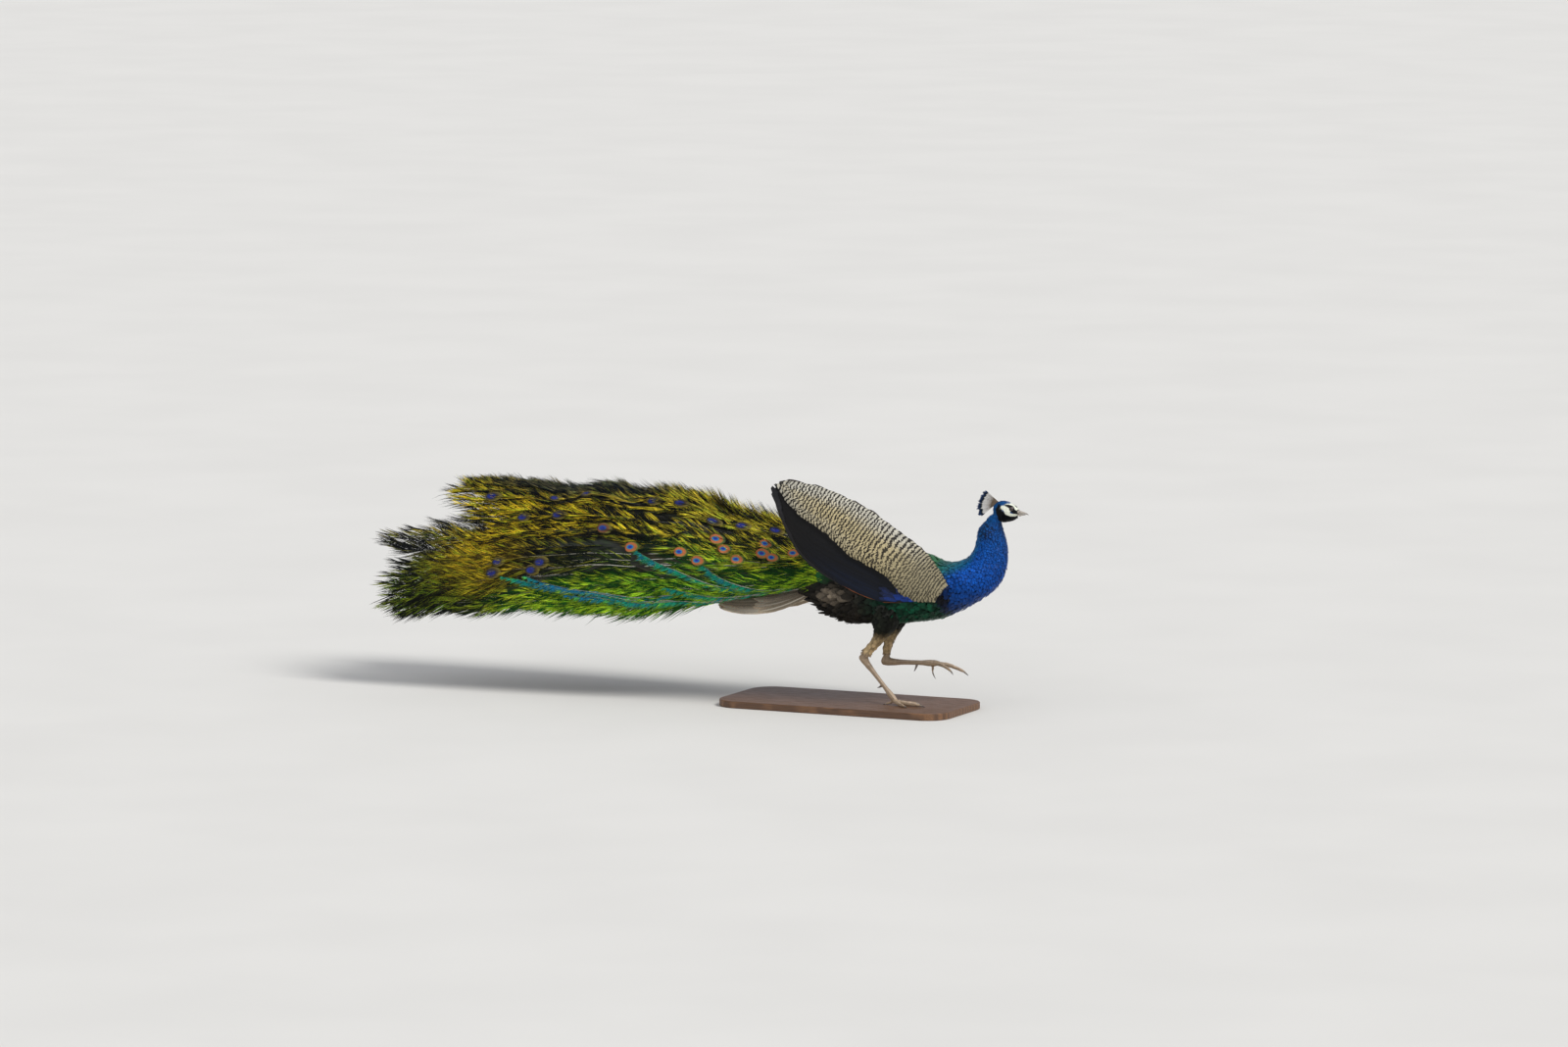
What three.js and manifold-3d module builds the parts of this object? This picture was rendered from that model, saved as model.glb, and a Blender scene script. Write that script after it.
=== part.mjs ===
// A peacock (Indian peafowl cock) running, as a life-size museum model on a flat base.
// Millimetres, +X forward, +Y to the bird's left, +Z up. The origin is the middle of the base's underside.
import * as THREE from "three";
import Module from "manifold-3d";
import { mergeVertices } from "three/addons/utils/BufferGeometryUtils.js";

const wasm = await Module();
wasm.setup();

// ---- Driving dimensions -------------------------------------------------------------------------

const GAP = 0.35; // between pieces that meet
const FACES = { left: 1, right: -1 }; // the sign of Y on each side of the bird

const BASE = { length: 640, width: 300, thickness: 18, corner: 60, chamfer: 2 };
const FOOTPRINT = new THREE.Vector3(130, 0, BASE.thickness); // the planted foot's mark on the base

// Sections of neck and trunk, from the throat to the vent: the two ends of each section's long axis
// (nape or back, then throat or belly, each as X and Z) and its half width.
const TRUNK_SECTIONS = [
  [268, 500, 301, 494, 15.5],
  [254, 488, 293, 480, 17.5],
  [233, 465, 297, 459, 26],
  [227, 447, 303, 440, 31],
  [223, 421, 308, 405, 35],
  [210, 396, 305, 365, 41],
  [188, 380, 289, 325, 52],
  [160, 372, 256, 290, 64],
  [130, 373, 205, 258, 75],
  [92, 385, 140, 227, 85],
  [45, 396, 70, 212, 92],
  [-10, 403, 0, 203, 96],
  [-80, 407, -80, 203, 95],
  [-150, 410, -158, 222, 86],
  [-212, 413, -220, 248, 70],
  [-258, 405, -256, 285, 50],
  [-284, 372, -276, 330, 20],
];
// Where the parting cuts lie, counted in sections from the throat.
const TRUNK_CUTS = {
  neck_upper: [1, 4],
  neck_lower: [4, 7],
  breast: [7, 10],
  trunk: [10, 13.2],
  rump: [13.2, 16],
};
const SECTION_SPACING = { throat: 18, body: 60 }; // about how far apart two sections lie

const TRUNK_RINGS = 2; // rings for each section

// Sections of the head from occiput to face: X, top, bottom and half width.
const HEAD_SECTIONS = [
  [270.5, 515, 505, 4],
  [274, 524, 497, 10],
  [281, 530, 489, 14],
  [291, 534, 485, 16.4],
  [302, 534.5, 483.5, 17],
  [313, 532, 485, 16.6],
  [323, 527, 488.5, 14.6],
  [331, 521, 492.5, 11.6],
  [338, 516.5, 496.5, 8.4],
];
// The bill: X, culmen, gape line, lower edge and half width.
const BILL_SECTIONS = [
  [331, 518.5, 505.5, 497, 8.2],
  [342, 516.5, 505.5, 497.5, 6.6],
  [352, 513, 505.2, 499, 5],
  [360, 509, 504.2, 501.2, 3.3],
  [365, 505, 502.6, 502, 1.6],
  [367, 502.2, 501.4, 501.2, 0.6],
];
const BILL_LOWER = { reach: 0.84, width: 0.92 }; // of the upper bill's length and width
const EYE = { x: 324, y: 9.4, z: 516, radius: 6 };
// The crest's root, the angles of its fan, its shortest and longest plumes and their scalloped ends.
const CREST = { x: 284, z: 527, top: 139, bottom: 216, short: 47, long: 60 };
const CREST_PLUMES = { count: 12, thickness: 5, notch: 4 };

// Legs, as X, Y and Z from the ground under the planted foot.
const LEGS = {
  right: {
    thigh: [[10, -52, 262], [-2, -56, 222], [-18, -46, 186], [-44, -42, 152], [-71, -40, 121]],
    hock: [-74, -40, 115],
    toeJoint: [14, -36, 11.5],
    foot: { heading: -4, pitch: 0, curl: 0, hindDrop: 0 },
  },
  left: {
    thigh: [[-6, 50, 262], [-22, 54, 218], [-34, 46, 170], [-42, 43, 134], [-47, 42, 105]],
    hock: [-49, 42, 98],
    toeJoint: [86, 65, 99],
    foot: { heading: 10, pitch: 3, curl: 12, hindDrop: 62 },
  },
};
const THIGH_RADII = [[44, 40], [39, 34], [24, 20], [12, 10.5], [9, 8]]; // fore-and-aft, then across
const SHANK_RADII = [5, 9.5, 7.4, 6.3, 6.2, 6.6, 9, 6]; // down the shank, its first and last past the joints
const SHANK_OVERRUN = 0.05; // how far its ends reach past hock and toe joint, of its length
const SPUR = { along: 0.62, length: 24, radius: 4.2, tip: 0.6, inward: 0.45, rise: 5 };
// Toes: turn from the foot's heading, length, radius, claw length and start beside the middle line.
const TOES = {
  middle: { turn: 0, length: 72, radius: 5.4, claw: 14, beside: 0 },
  inner: { turn: 31, length: 50, radius: 4.8, claw: 12, beside: 3.5 },
  outer: { turn: -33, length: 53, radius: 4.8, claw: 12, beside: -3.5 },
  hind: { turn: 172, length: 25, radius: 3.8, claw: 10, beside: 1.5 },
};

const TOE_TAPER = [1.05, 0.96, 0.88, 0.7]; // of the toe's radius, from joint to claw
const CLAW_TAPER = [0.56, 0.46, 0.1];
const CLAW_HOOK = 4; // how steeply a claw bends down
const HIND_RISE = 4; // how far above the joint the hind toe starts
const RELAXED_DROP = 4; // how far the lifted foot's toes hang below their joint

// Wings: the wrist's place, and in degrees the long axis' pitch, its splay and the blade's lean.
const WINGS = {
  right: { wrist: [162, 106, 315], pitch: 31.5, splay: 9.5, lean: 23 },
  left: { wrist: [154, 98, 276], pitch: 18.5, splay: 7, lean: 30 },
};
const WING_CAMBER = { depth: 26, height: 110 }; // how far the blade bends inward, at what height across it
const SHOULDER_BEND = { depth: 55, height: 70, reach: 330 }; // and how much further by the shoulder
// Flesh between back and blade, from the wrist to the end of the upper arm: its root inside the
// trunk as X, Y and Z, its outer edge as reach and height on the blade, and its half thickness.
const SHOULDER_SECTIONS = [
  [178, 30, 318, 4, -14, 10],
  [150, 36, 325, 22, 6, 24],
  [112, 40, 335, 70, 22, 30],
  [66, 44, 350, 128, 34, 26],
  [20, 50, 362, 186, 40, 18],
  [-24, 58, 372, 236, 44, 8],
];
// Blade layers, from the outside in: upper and lower edge at even steps from the wrist to the tip.
const WING_LAYERS = {
  coverts: {
    reach: [-14, 478],
    upper: [22, 52, 64, 68, 69, 66, 56, 40, 12],
    lower: [-32, -66, -48, -45, -53, -40, -38, -34, -6],
    inner: 0,
    rings: 12,
    sides: 12,
    thickness: [14, 17, 15, 12, 10, 9, 8, 6, 3],
  },
  secondaries: {
    reach: [14, 490],
    upper: [-20, 0, 14, 20, 22, 22, 20, 16, -4],
    lower: [-48, -88, -112, -121, -124, -122, -104, -72, -34],
    inner: -4.4,
    rings: 11,
    sides: 10,
    thickness: [2.2, 3, 3, 3, 3, 3, 2.6, 2.2, 1.6],
  },
  primaries: {
    reach: [70, 500],
    upper: [-62, -60, -50, -44, -40, -34, -26, -18, -12],
    lower: [-82, -106, -121, -128, -130, -124, -100, -66, -22],
    inner: -8.6,
    rings: 9,
    sides: 8,
    thickness: [2, 2.8, 3, 3, 3, 2.8, 2.4, 2, 1.4],
  },
};

const TAIL = {
  root: [-205, 292], // X and Z
  tip: [-505, 232],
  spread: 17, // degrees that each side opens
  halfWidth: 32,
  arch: 26,
  thickness: 5,
  feathers: 7,
  notch: 16, // depth between two feather tips
  round: 0.1, // how much shorter the outer feathers are, of the length
};

// The train's arch: X, ridge height, half width and depth from ridge to lower edge.
const TRAIN_SECTIONS = [
  [-190, 400, 60, 100],
  [-300, 428, 100, 142],
  [-400, 451, 132, 180],
  [-550, 496, 160, 238],
  [-800, 530, 184, 292],
  [-1000, 518, 192, 296],
  [-1200, 510, 196, 330],
  [-1460, 478, 190, 335],
];
const TRAIN_EDGE = 98; // degrees from the ridge to the lower edge
const TRAIN_REACH = [0.85, 0.875, 0.965, 0.975, 0.925]; // of the arch's length, from ridge to lower edge
const TRAIN_TRACTS = { count: 9, edge: TRAIN_EDGE, start: 0.04, thickness: 10, parting: 0.3, steps: 8 };
// Shorter tracts that lie over the roots of the long ones.
const TRAIN_OVERLAYS = {
  count: 4,
  edge: TRAIN_EDGE * 0.9,
  start: 0.02,
  end: 0.5,
  thickness: 8,
  parting: 0.4,
  steps: 6,
};
const TRACT_TAPER = { from: 0.8, least: 0.22 }; // where a tract starts to narrow, and its width at the tip
const OVERLAY_CLEARANCE = 2.2;

// ---- Materials ----------------------------------------------------------------------------------

const finish = (color, roughness, metalness = 0) => ({ color, roughness, metalness });
const FINISHES = {
  blueFeather: finish(0x0a3fa8, 0.45, 0.3),
  greenFeather: finish(0x1c5a3c, 0.5, 0.3),
  darkFeather: finish(0x1a211c, 0.6, 0.1),
  coverts: finish(0xa8977a, 0.75),
  secondaries: finish(0x141a33, 0.5, 0.2),
  primaries: finish(0x8a4a22, 0.7),
  tailFeather: finish(0x6d6259, 0.75),
  trainFeather: finish(0x4c5a1c, 0.5, 0.3),
  thigh: finish(0x9c8a6c, 0.8),
  scute: finish(0xa08c78, 0.55),
  horn: finish(0xb9b1a2, 0.4),
  claw: finish(0x4a4038, 0.4),
  eye: finish(0x1b0f08, 0.08),
  wood: finish(0x4a3424, 0.45),
};

// ---- Numbers and places -------------------------------------------------------------------------

const radians = THREE.MathUtils.degToRad;
const vector = (numbers) => new THREE.Vector3(...numbers);

/** Smooth row of numbers through evenly spaced rows, read at 0 to 1 along them. */
function through(rows) {
  const last = rows.length - 1;
  const row = (index) => rows[THREE.MathUtils.clamp(index, 0, last)];
  return (share) => {
    const place = THREE.MathUtils.clamp(share, 0, 1) * last;
    const start = Math.min(Math.floor(place), last - 1);
    const part = place - start;
    const near = [-1, 0, 1, 2].map((step) => row(start + step));
    return near[1].map((_, column) => {
      const [before, from, to, after] = near.map((values) => values[column]);
      const leaving = (to - before) / 2;
      const arriving = (after - from) / 2;
      const cubic = 2 * (from - to) + leaving + arriving;
      const square = 3 * (to - from) - 2 * leaving - arriving;
      return ((cubic * part + square) * part + leaving) * part + from;
    });
  };
}

/** Smooth single number through evenly spaced numbers. */
function curve(numbers) {
  const rows = through(numbers.map((number) => [number]));
  return (share) => rows(share)[0];
}

/** A power that keeps the sign, which squares off (under 1) or sharpens a round section. */
const signedPower = (value, power) => Math.sign(value) * Math.abs(value) ** power;

// ---- Solids -------------------------------------------------------------------------------------

/** A closed solid from rings of points, with a middle point closing each end. */
function ringedSolid(steps, sides, pointAt) {
  const points = [];
  const faces = [];
  for (let step = 0; step <= steps; step += 1) {
    for (let side = 0; side < sides; side += 1) {
      points.push(pointAt(step / steps, (side / sides) * 2 * Math.PI));
    }
  }
  const ringMiddle = (first) => {
    const ring = points.slice(first, first + sides);
    return ring.reduce((sum, point) => sum.add(point), new THREE.Vector3()).divideScalar(sides);
  };
  const startPoint = points.length;
  points.push(ringMiddle(0));
  const endPoint = points.length;
  points.push(ringMiddle(steps * sides));
  for (let side = 0; side < sides; side += 1) {
    const next = (side + 1) % sides;
    faces.push([startPoint, next, side]);
    faces.push([endPoint, steps * sides + side, steps * sides + next]);
    for (let step = 0; step < steps; step += 1) {
      const near = step * sides;
      const far = near + sides;
      faces.push([near + side, near + next, far + next]);
      faces.push([near + side, far + next, far + side]);
    }
  }
  return facedSolid(points, faces);
}

/** A solid from points and the triangles between them, turned so that its faces point outward. */
function facedSolid(points, faces) {
  const cross = new THREE.Vector3();
  const corner = ([a, b, c]) => cross.crossVectors(points[b], points[c]).dot(points[a]);
  const turned = faces.reduce((sum, face) => sum + corner(face), 0) < 0;
  const geometry = new THREE.BufferGeometry();
  geometry.setAttribute("position", new THREE.Float32BufferAttribute(points.flatMap((p) => p.toArray()), 3));
  geometry.setIndex(faces.flatMap(([a, b, c]) => (turned ? [a, c, b] : [a, b, c])));
  return asSolid(geometry);
}

/** A solid for cutting and joining, from a closed geometry. */
function asSolid(geometry) {
  const bare = geometry.clone();
  bare.deleteAttribute("normal");
  bare.deleteAttribute("uv");
  const merged = mergeVertices(bare, 1e-4);
  const vertProperties = new Float32Array(merged.attributes.position.array);
  const triVerts = new Uint32Array(merged.index.array);
  return new wasm.Manifold(new wasm.Mesh({ numProp: 3, vertProperties, triVerts }));
}

/** The largest single body of a solid. */
function mainBody(solid) {
  return solid.decompose().reduce((best, body) => (body.volume() > best.volume() ? body : best));
}

/** A named mesh of a solid's main body. */
function mesh(name, solid, material) {
  const { vertProperties, triVerts } = mainBody(solid).getMesh();
  const geometry = new THREE.BufferGeometry();
  geometry.setAttribute("position", new THREE.BufferAttribute(vertProperties, 3));
  geometry.setIndex(new THREE.BufferAttribute(triVerts, 1));
  geometry.computeVertexNormals();
  const piece = new THREE.Mesh(geometry, new THREE.MeshStandardMaterial(material));
  piece.name = name;
  return piece;
}

/** A round tapering limb through points, with a radius across each way; `grown` thickens it for cutting. */
function limb({ points, radii, sides, steps, grown = 0, floor = -Infinity }) {
  const path = new THREE.CatmullRomCurve3(points.map(vector), false, "centripetal");
  const frames = path.computeFrenetFrames(steps);
  const radiusAt = through(radii);
  return ringedSolid(steps, sides, (share, angle) => {
    const step = Math.round(share * steps);
    const [across, along] = radiusAt(share);
    const point = path.getPointAt(share);
    point.addScaledVector(frames.normals[step], (across + grown) * Math.cos(angle));
    point.addScaledVector(frames.binormals[step], (along + grown) * Math.sin(angle));
    point.z = Math.max(point.z, floor - grown);
    return point;
  });
}

/** A ball round a place. */
function ball(centre, radius) {
  const sphere = new THREE.SphereGeometry(radius, 10, 7);
  return asSolid(sphere.rotateX(Math.PI / 2).translate(...centre));
}

// ---- Head, neck and trunk -----------------------------------------------------------------------

/** The neck and trunk between two sections, grown outward for cutting. */
function trunkLength(from, to, { sides = 16, steps = 8, grown = 0, gap = 0 } = {}) {
  const sections = through(TRUNK_SECTIONS);
  const last = TRUNK_SECTIONS.length - 1;
  const slack = gap / SECTION_SPACING.body;
  return ringedSolid(steps, sides, (share, angle) => {
    const place = THREE.MathUtils.lerp(from + slack, to - slack, share) / last;
    const [topX, topZ, lowX, lowZ, halfWidth] = sections(place);
    const top = new THREE.Vector3(topX, 0, topZ);
    const low = new THREE.Vector3(lowX, 0, lowZ);
    const halfHeight = top.clone().sub(low).multiplyScalar(0.5);
    const growth = 1 + grown / halfHeight.length();
    const point = top.add(low).multiplyScalar(0.5);
    point.addScaledVector(halfHeight, signedPower(Math.sin(angle), 0.92) * growth);
    point.y = signedPower(Math.cos(angle), 0.92) * (halfWidth + grown);
    return point;
  });
}

/** One layer of the head or bill: sections of X, top, bottom and half width. */
function headBlock(sections, { sides, steps, grown = 0, roundness = 0.95 }) {
  const at = through(sections);
  return ringedSolid(steps, sides, (share, angle) => {
    const [x, top, low, halfWidth] = at(share);
    const z = (top + low) / 2 + signedPower(Math.sin(angle), roundness) * ((top - low) / 2 + grown);
    return new THREE.Vector3(x, signedPower(Math.cos(angle), roundness) * (halfWidth + grown), z);
  });
}

/** Head with eye sockets, the two halves of the bill, the eyes and the crest. */
function headPieces() {
  const skull = (grown) => headBlock(HEAD_SECTIONS, { sides: 16, steps: 8, grown });
  const throat = trunkLength(0, 1, { steps: 2 });
  const neck = trunkLength(1 - GAP / SECTION_SPACING.throat, 4, { grown: GAP, steps: 6 });
  const eyes = Object.entries(FACES).map(([side, sign]) => ({ side, centre: [EYE.x, sign * EYE.y, EYE.z] }));
  const sockets = eyes.map(({ centre }) => ball(centre, EYE.radius + GAP));
  const head = sockets.reduce((solid, socket) => solid.subtract(socket), skull(0).add(throat).subtract(neck));
  const face = skull(GAP);

  const upperRows = BILL_SECTIONS.map(([x, culmen, gape, , halfWidth]) => [x, culmen, gape, halfWidth]);
  const billRoot = BILL_SECTIONS[0][0];
  const lowerRows = BILL_SECTIONS.map(([x, , gape, low, halfWidth]) => {
    return [billRoot + (x - billRoot) * BILL_LOWER.reach, gape - GAP, low, halfWidth * BILL_LOWER.width];
  });
  const billOptions = { sides: 8, steps: 5, roundness: 0.85 };
  const upper = headBlock(upperRows, billOptions).subtract(face);
  const lower = headBlock(lowerRows, billOptions).subtract(face).subtract(upper.translate([0, 0, -GAP]));

  return [
    mesh("head", head, FINISHES.blueFeather),
    mesh("bill_upper", upper, FINISHES.horn),
    mesh("bill_lower", lower, FINISHES.horn),
    mesh("crest", crestFan().subtract(face), FINISHES.blueFeather),
    ...eyes.map(({ side, centre }) => mesh(`eye_${side}`, ball(centre, EYE.radius), FINISHES.eye)),
  ];
}

/** The crest as a thin fan swept back from the crown, its edge scalloped by the plumes' tips. */
function crestFan() {
  const outline = new THREE.Shape();
  const fanPoint = (share, radius) => {
    const turn = radians(THREE.MathUtils.lerp(CREST.top, CREST.bottom, share));
    return [CREST.x + Math.cos(turn) * radius, CREST.z + Math.sin(turn) * radius];
  };
  outline.moveTo(CREST.x + 3, CREST.z - 4);
  for (let plume = 0; plume < CREST_PLUMES.count; plume += 1) {
    const reach = THREE.MathUtils.lerp(CREST.short, CREST.long, plume / (CREST_PLUMES.count - 1));
    outline.lineTo(...fanPoint((plume + 0.15) / CREST_PLUMES.count, reach - CREST_PLUMES.notch));
    outline.lineTo(...fanPoint((plume + 0.5) / CREST_PLUMES.count, reach));
    outline.lineTo(...fanPoint((plume + 0.85) / CREST_PLUMES.count, reach - CREST_PLUMES.notch));
  }
  const fan = new THREE.ExtrudeGeometry(outline, { depth: CREST_PLUMES.thickness, bevelEnabled: false });
  return asSolid(fan.translate(0, 0, -CREST_PLUMES.thickness / 2).rotateX(Math.PI / 2));
}

/** Rings along one length of the trunk. */
const trunkSteps = ([from, to]) => Math.round((to - from) * TRUNK_RINGS);

/** Neck and trunk, parted at the thin cuts. */
function trunkPieces() {
  const looks = { neck_upper: "blueFeather", neck_lower: "blueFeather", breast: "blueFeather" };
  return Object.entries(TRUNK_CUTS).map(([name, cuts]) => {
    const piece = trunkLength(...cuts, { gap: GAP, steps: trunkSteps(cuts) });
    return mesh(name, piece, FINISHES[looks[name] ?? "darkFeather"]);
  });
}

/** The whole trunk a little thicker, for cutting what meets it. */
function trunkCutter() {
  return Object.values(TRUNK_CUTS)
    .map((cuts) => trunkLength(...cuts, { steps: trunkSteps(cuts), grown: GAP }))
    .reduce((sum, length) => sum.add(length));
}

// ---- Legs ---------------------------------------------------------------------------------------

/** Points down the middle of a toe in its foot's frame, its joint at the origin and +X forward. */
function toePath({ turn, length, beside, drop }, shareFrom, shareTo, lift) {
  return [0, 0.5, 1].map((step) => {
    const share = THREE.MathUtils.lerp(shareFrom, shareTo, step);
    const out = Math.cos(radians(drop * share)) * length * share;
    const low = Math.sin(radians(drop * share)) * length * share;
    return [Math.cos(radians(turn)) * out, beside + Math.sin(radians(turn)) * out, lift(share) - low];
  });
}

/** Shank, spur, toes and claws of one leg. */
function legPieces(side, trunk) {
  const sign = FACES[side];
  const { thigh, hock, toeJoint, foot } = LEGS[side];
  const planted = foot.curl === 0;
  const thighSolid = (grown) => limb({ points: thigh, radii: THIGH_RADII, sides: 12, steps: 7, grown });
  const shankPoints = [-SHANK_OVERRUN, 0.5, 1 + SHANK_OVERRUN].map((share) => {
    return vector(hock).lerp(vector(toeJoint), share).toArray();
  });
  const shankRadii = SHANK_RADII.map((radius) => [radius, radius * 0.9]);
  const sole = planted ? GAP : -Infinity;
  const shankSolid = (grown) =>
    limb({ points: shankPoints, radii: shankRadii, sides: 9, steps: 10, grown, floor: sole });
  const bareThigh = thighSolid(0).subtract(trunk);
  const shank = shankSolid(0).subtract(thighSolid(GAP));
  const pieces = [
    mesh(`thigh_${side}`, bareThigh, FINISHES.thigh),
    mesh(`shank_${side}`, shank, FINISHES.scute),
    mesh(`spur_${side}`, spur(hock, toeJoint, sign).subtract(shankSolid(GAP)), FINISHES.horn),
  ];

  const place = new THREE.Matrix4().makeTranslation(...toeJoint);
  place.multiply(new THREE.Matrix4().makeRotationZ(radians(foot.heading)));
  place.multiply(new THREE.Matrix4().makeRotationY(radians(foot.pitch)));
  const toFoot = (points) => points.map((point) => vector(point).applyMatrix4(place).toArray());
  const ground = planted ? -toeJoint[2] : -RELAXED_DROP;
  let taken = shankSolid(GAP);
  Object.entries(TOES).forEach(([toe, size]) => {
    const rear = toe === "hind";
    const drop = rear ? foot.hindDrop : foot.curl;
    const shape = { ...size, turn: size.turn * sign, beside: size.beside * sign, drop };
    const settled = ground + size.radius * 0.8;
    const lift = (share) => THREE.MathUtils.lerp(rear ? HIND_RISE : -1, settled, Math.min(1, share * 1.6));
    const radii = TOE_TAPER.map((width) => [width * size.radius, width * size.radius]);
    const toeSolid = (grown) =>
      limb({ points: toFoot(toePath(shape, 0, 1, lift)), radii, sides: 6, steps: 4, grown, floor: sole });
    const clawReach = 1 + size.claw / size.length;
    const clawLift = (share) => settled + 0.6 - Math.max(0, share - 1) * size.radius * CLAW_HOOK;
    const clawPath = toFoot(toePath(shape, 0.95, clawReach, clawLift));
    const clawRadii = CLAW_TAPER.map((width) => [width * size.radius, width * size.radius]);
    const claw = limb({ points: clawPath, radii: clawRadii, sides: 5, steps: 3, floor: sole });
    pieces.push(mesh(`toe_${toe}_${side}`, toeSolid(0).subtract(taken), FINISHES.scute));
    taken = taken.add(toeSolid(GAP));
    pieces.push(mesh(`claw_${toe}_${side}`, claw.subtract(taken), FINISHES.claw));
  });
  return pieces;
}

/** The cock's spur, on the inner rear side of the shank and curved up. */
function spur(hock, toeJoint, sign) {
  const root = vector(hock).lerp(vector(toeJoint), SPUR.along);
  const down = vector(toeJoint).sub(vector(hock)).normalize();
  const back = new THREE.Vector3(down.z, 0, -down.x).normalize();
  const inward = new THREE.Vector3(0, -sign * SPUR.inward, 0);
  const aim = back.add(inward).normalize();
  const points = [0, 0.5, 1].map((share) => {
    const point = root.clone().addScaledVector(aim, SPUR.length * share);
    return point.addScaledVector(down, -SPUR.rise * share * share).toArray();
  });
  const radii = [SPUR.radius, SPUR.radius * 0.7, SPUR.tip].map((radius) => [radius, radius]);
  return limb({ points, radii, sides: 6, steps: 3 });
}

// ---- Wings --------------------------------------------------------------------------------------

/** A place on a wing's blade, from how far along and across it lies and how far off it. */
function bladePlace(side) {
  const sign = FACES[side];
  const { wrist, pitch, splay, lean } = WINGS[side];
  const origin = new THREE.Vector3(wrist[0], wrist[1] * sign, wrist[2]);
  const rise = radians(pitch);
  const turn = radians(splay);
  const level = Math.cos(rise);
  const along = new THREE.Vector3(-level * Math.cos(turn), sign * level * Math.sin(turn), Math.sin(rise));
  const upright = new THREE.Vector3(Math.sin(rise), 0, Math.cos(rise));
  const inward = new THREE.Vector3(0, -sign, 0);
  const across = upright.multiplyScalar(Math.cos(radians(lean)));
  across.addScaledVector(inward, Math.sin(radians(lean)));
  const outward = new THREE.Vector3().crossVectors(along, across).multiplyScalar(sign).normalize();
  across.crossVectors(outward, along).multiplyScalar(sign).normalize();
  return (reach, height, off) => {
    const nearShoulder = Math.max(0, 1 - reach / SHOULDER_BEND.reach) ** 2;
    const raised = (Math.max(0, height) / SHOULDER_BEND.height) ** 2;
    const shoulder = SHOULDER_BEND.depth * raised * nearShoulder;
    const bend = WING_CAMBER.depth * (height / WING_CAMBER.height) ** 2 + shoulder;
    const point = origin.clone().addScaledVector(along, reach).addScaledVector(across, height);
    return point.addScaledVector(outward, off - bend);
  };
}

/** One layer of a wing's feathers as a curved plate. */
function wingLayer(side, { reach, upper, lower, inner, rings, sides, thickness }, grown = 0) {
  const place = bladePlace(side);
  const [upperAt, lowerAt, thicknessAt] = [upper, lower, thickness].map(curve);
  return ringedSolid(rings, sides, (share, angle) => {
    const half = (upperAt(share) - lowerAt(share)) / 2 + grown;
    const height = (upperAt(share) + lowerAt(share)) / 2 + half * Math.cos(angle);
    const halfThickness = thicknessAt(share) / 2;
    const off = inner + halfThickness + (halfThickness + grown) * signedPower(Math.sin(angle), 0.6);
    return place(THREE.MathUtils.lerp(reach[0] - grown, reach[1] + grown, share), height, off);
  });
}

/** The three feather layers of one wing and the upper arm that carries them. */
function wingPieces(side, trunk) {
  const sign = FACES[side];
  const place = bladePlace(side);
  const pieces = [];
  let taken = trunk;
  Object.entries(WING_LAYERS).forEach(([name, layer]) => {
    pieces.push(mesh(`wing_${name}_${side}`, wingLayer(side, layer).subtract(taken), FINISHES[name]));
    taken = taken.add(wingLayer(side, layer, GAP));
  });
  const sections = through(SHOULDER_SECTIONS);
  const arm = ringedSolid(6, 9, (share, angle) => {
    const [x, y, z, reach, height, halfThickness] = sections(share);
    const root = new THREE.Vector3(x, y * sign, z);
    const edge = place(reach, height, 0);
    const across = edge.clone().sub(root).multiplyScalar(0.5);
    const upright = new THREE.Vector3(0, -across.z * sign, across.y * sign).normalize();
    const point = root.add(edge).multiplyScalar(0.5).addScaledVector(across, Math.cos(angle));
    return point.addScaledVector(upright, halfThickness * signedPower(Math.sin(angle), 0.8));
  });
  pieces.push(mesh(`upper_arm_${side}`, arm.subtract(taken), FINISHES.darkFeather));
  return pieces;
}

// ---- Tail and train -----------------------------------------------------------------------------

/** The true tail, a low arched fan under the train with notched feather ends. */
function tailPiece(trunk) {
  const [rootX, rootZ] = TAIL.root;
  const [tipX, tipZ] = TAIL.tip;
  const length = rootX - tipX;
  const top = [];
  const outline = (share) => TAIL.halfWidth + Math.tan(radians(TAIL.spread)) * length * share;
  const columns = TAIL.feathers * 2;
  const rows = 3;
  for (let layer = 0; layer < 2; layer += 1) {
    for (let row = 0; row <= rows; row += 1) {
      for (let column = 0; column <= columns; column += 1) {
        const side = (column / columns) * 2 - 1;
        const notch = row === rows && column % 2 === 0 ? TAIL.notch : 0;
        const share = row / rows - (row === rows ? TAIL.round * side * side : 0);
        const x = rootX - length * share + notch;
        const z = THREE.MathUtils.lerp(rootZ, tipZ, share) - TAIL.arch * side * side - layer * TAIL.thickness;
        top.push(new THREE.Vector3(x, side * outline(share), z));
      }
    }
  }
  return mesh("tail", sheetSolid(top, rows, columns).subtract(trunk), FINISHES.tailFeather);
}

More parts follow.
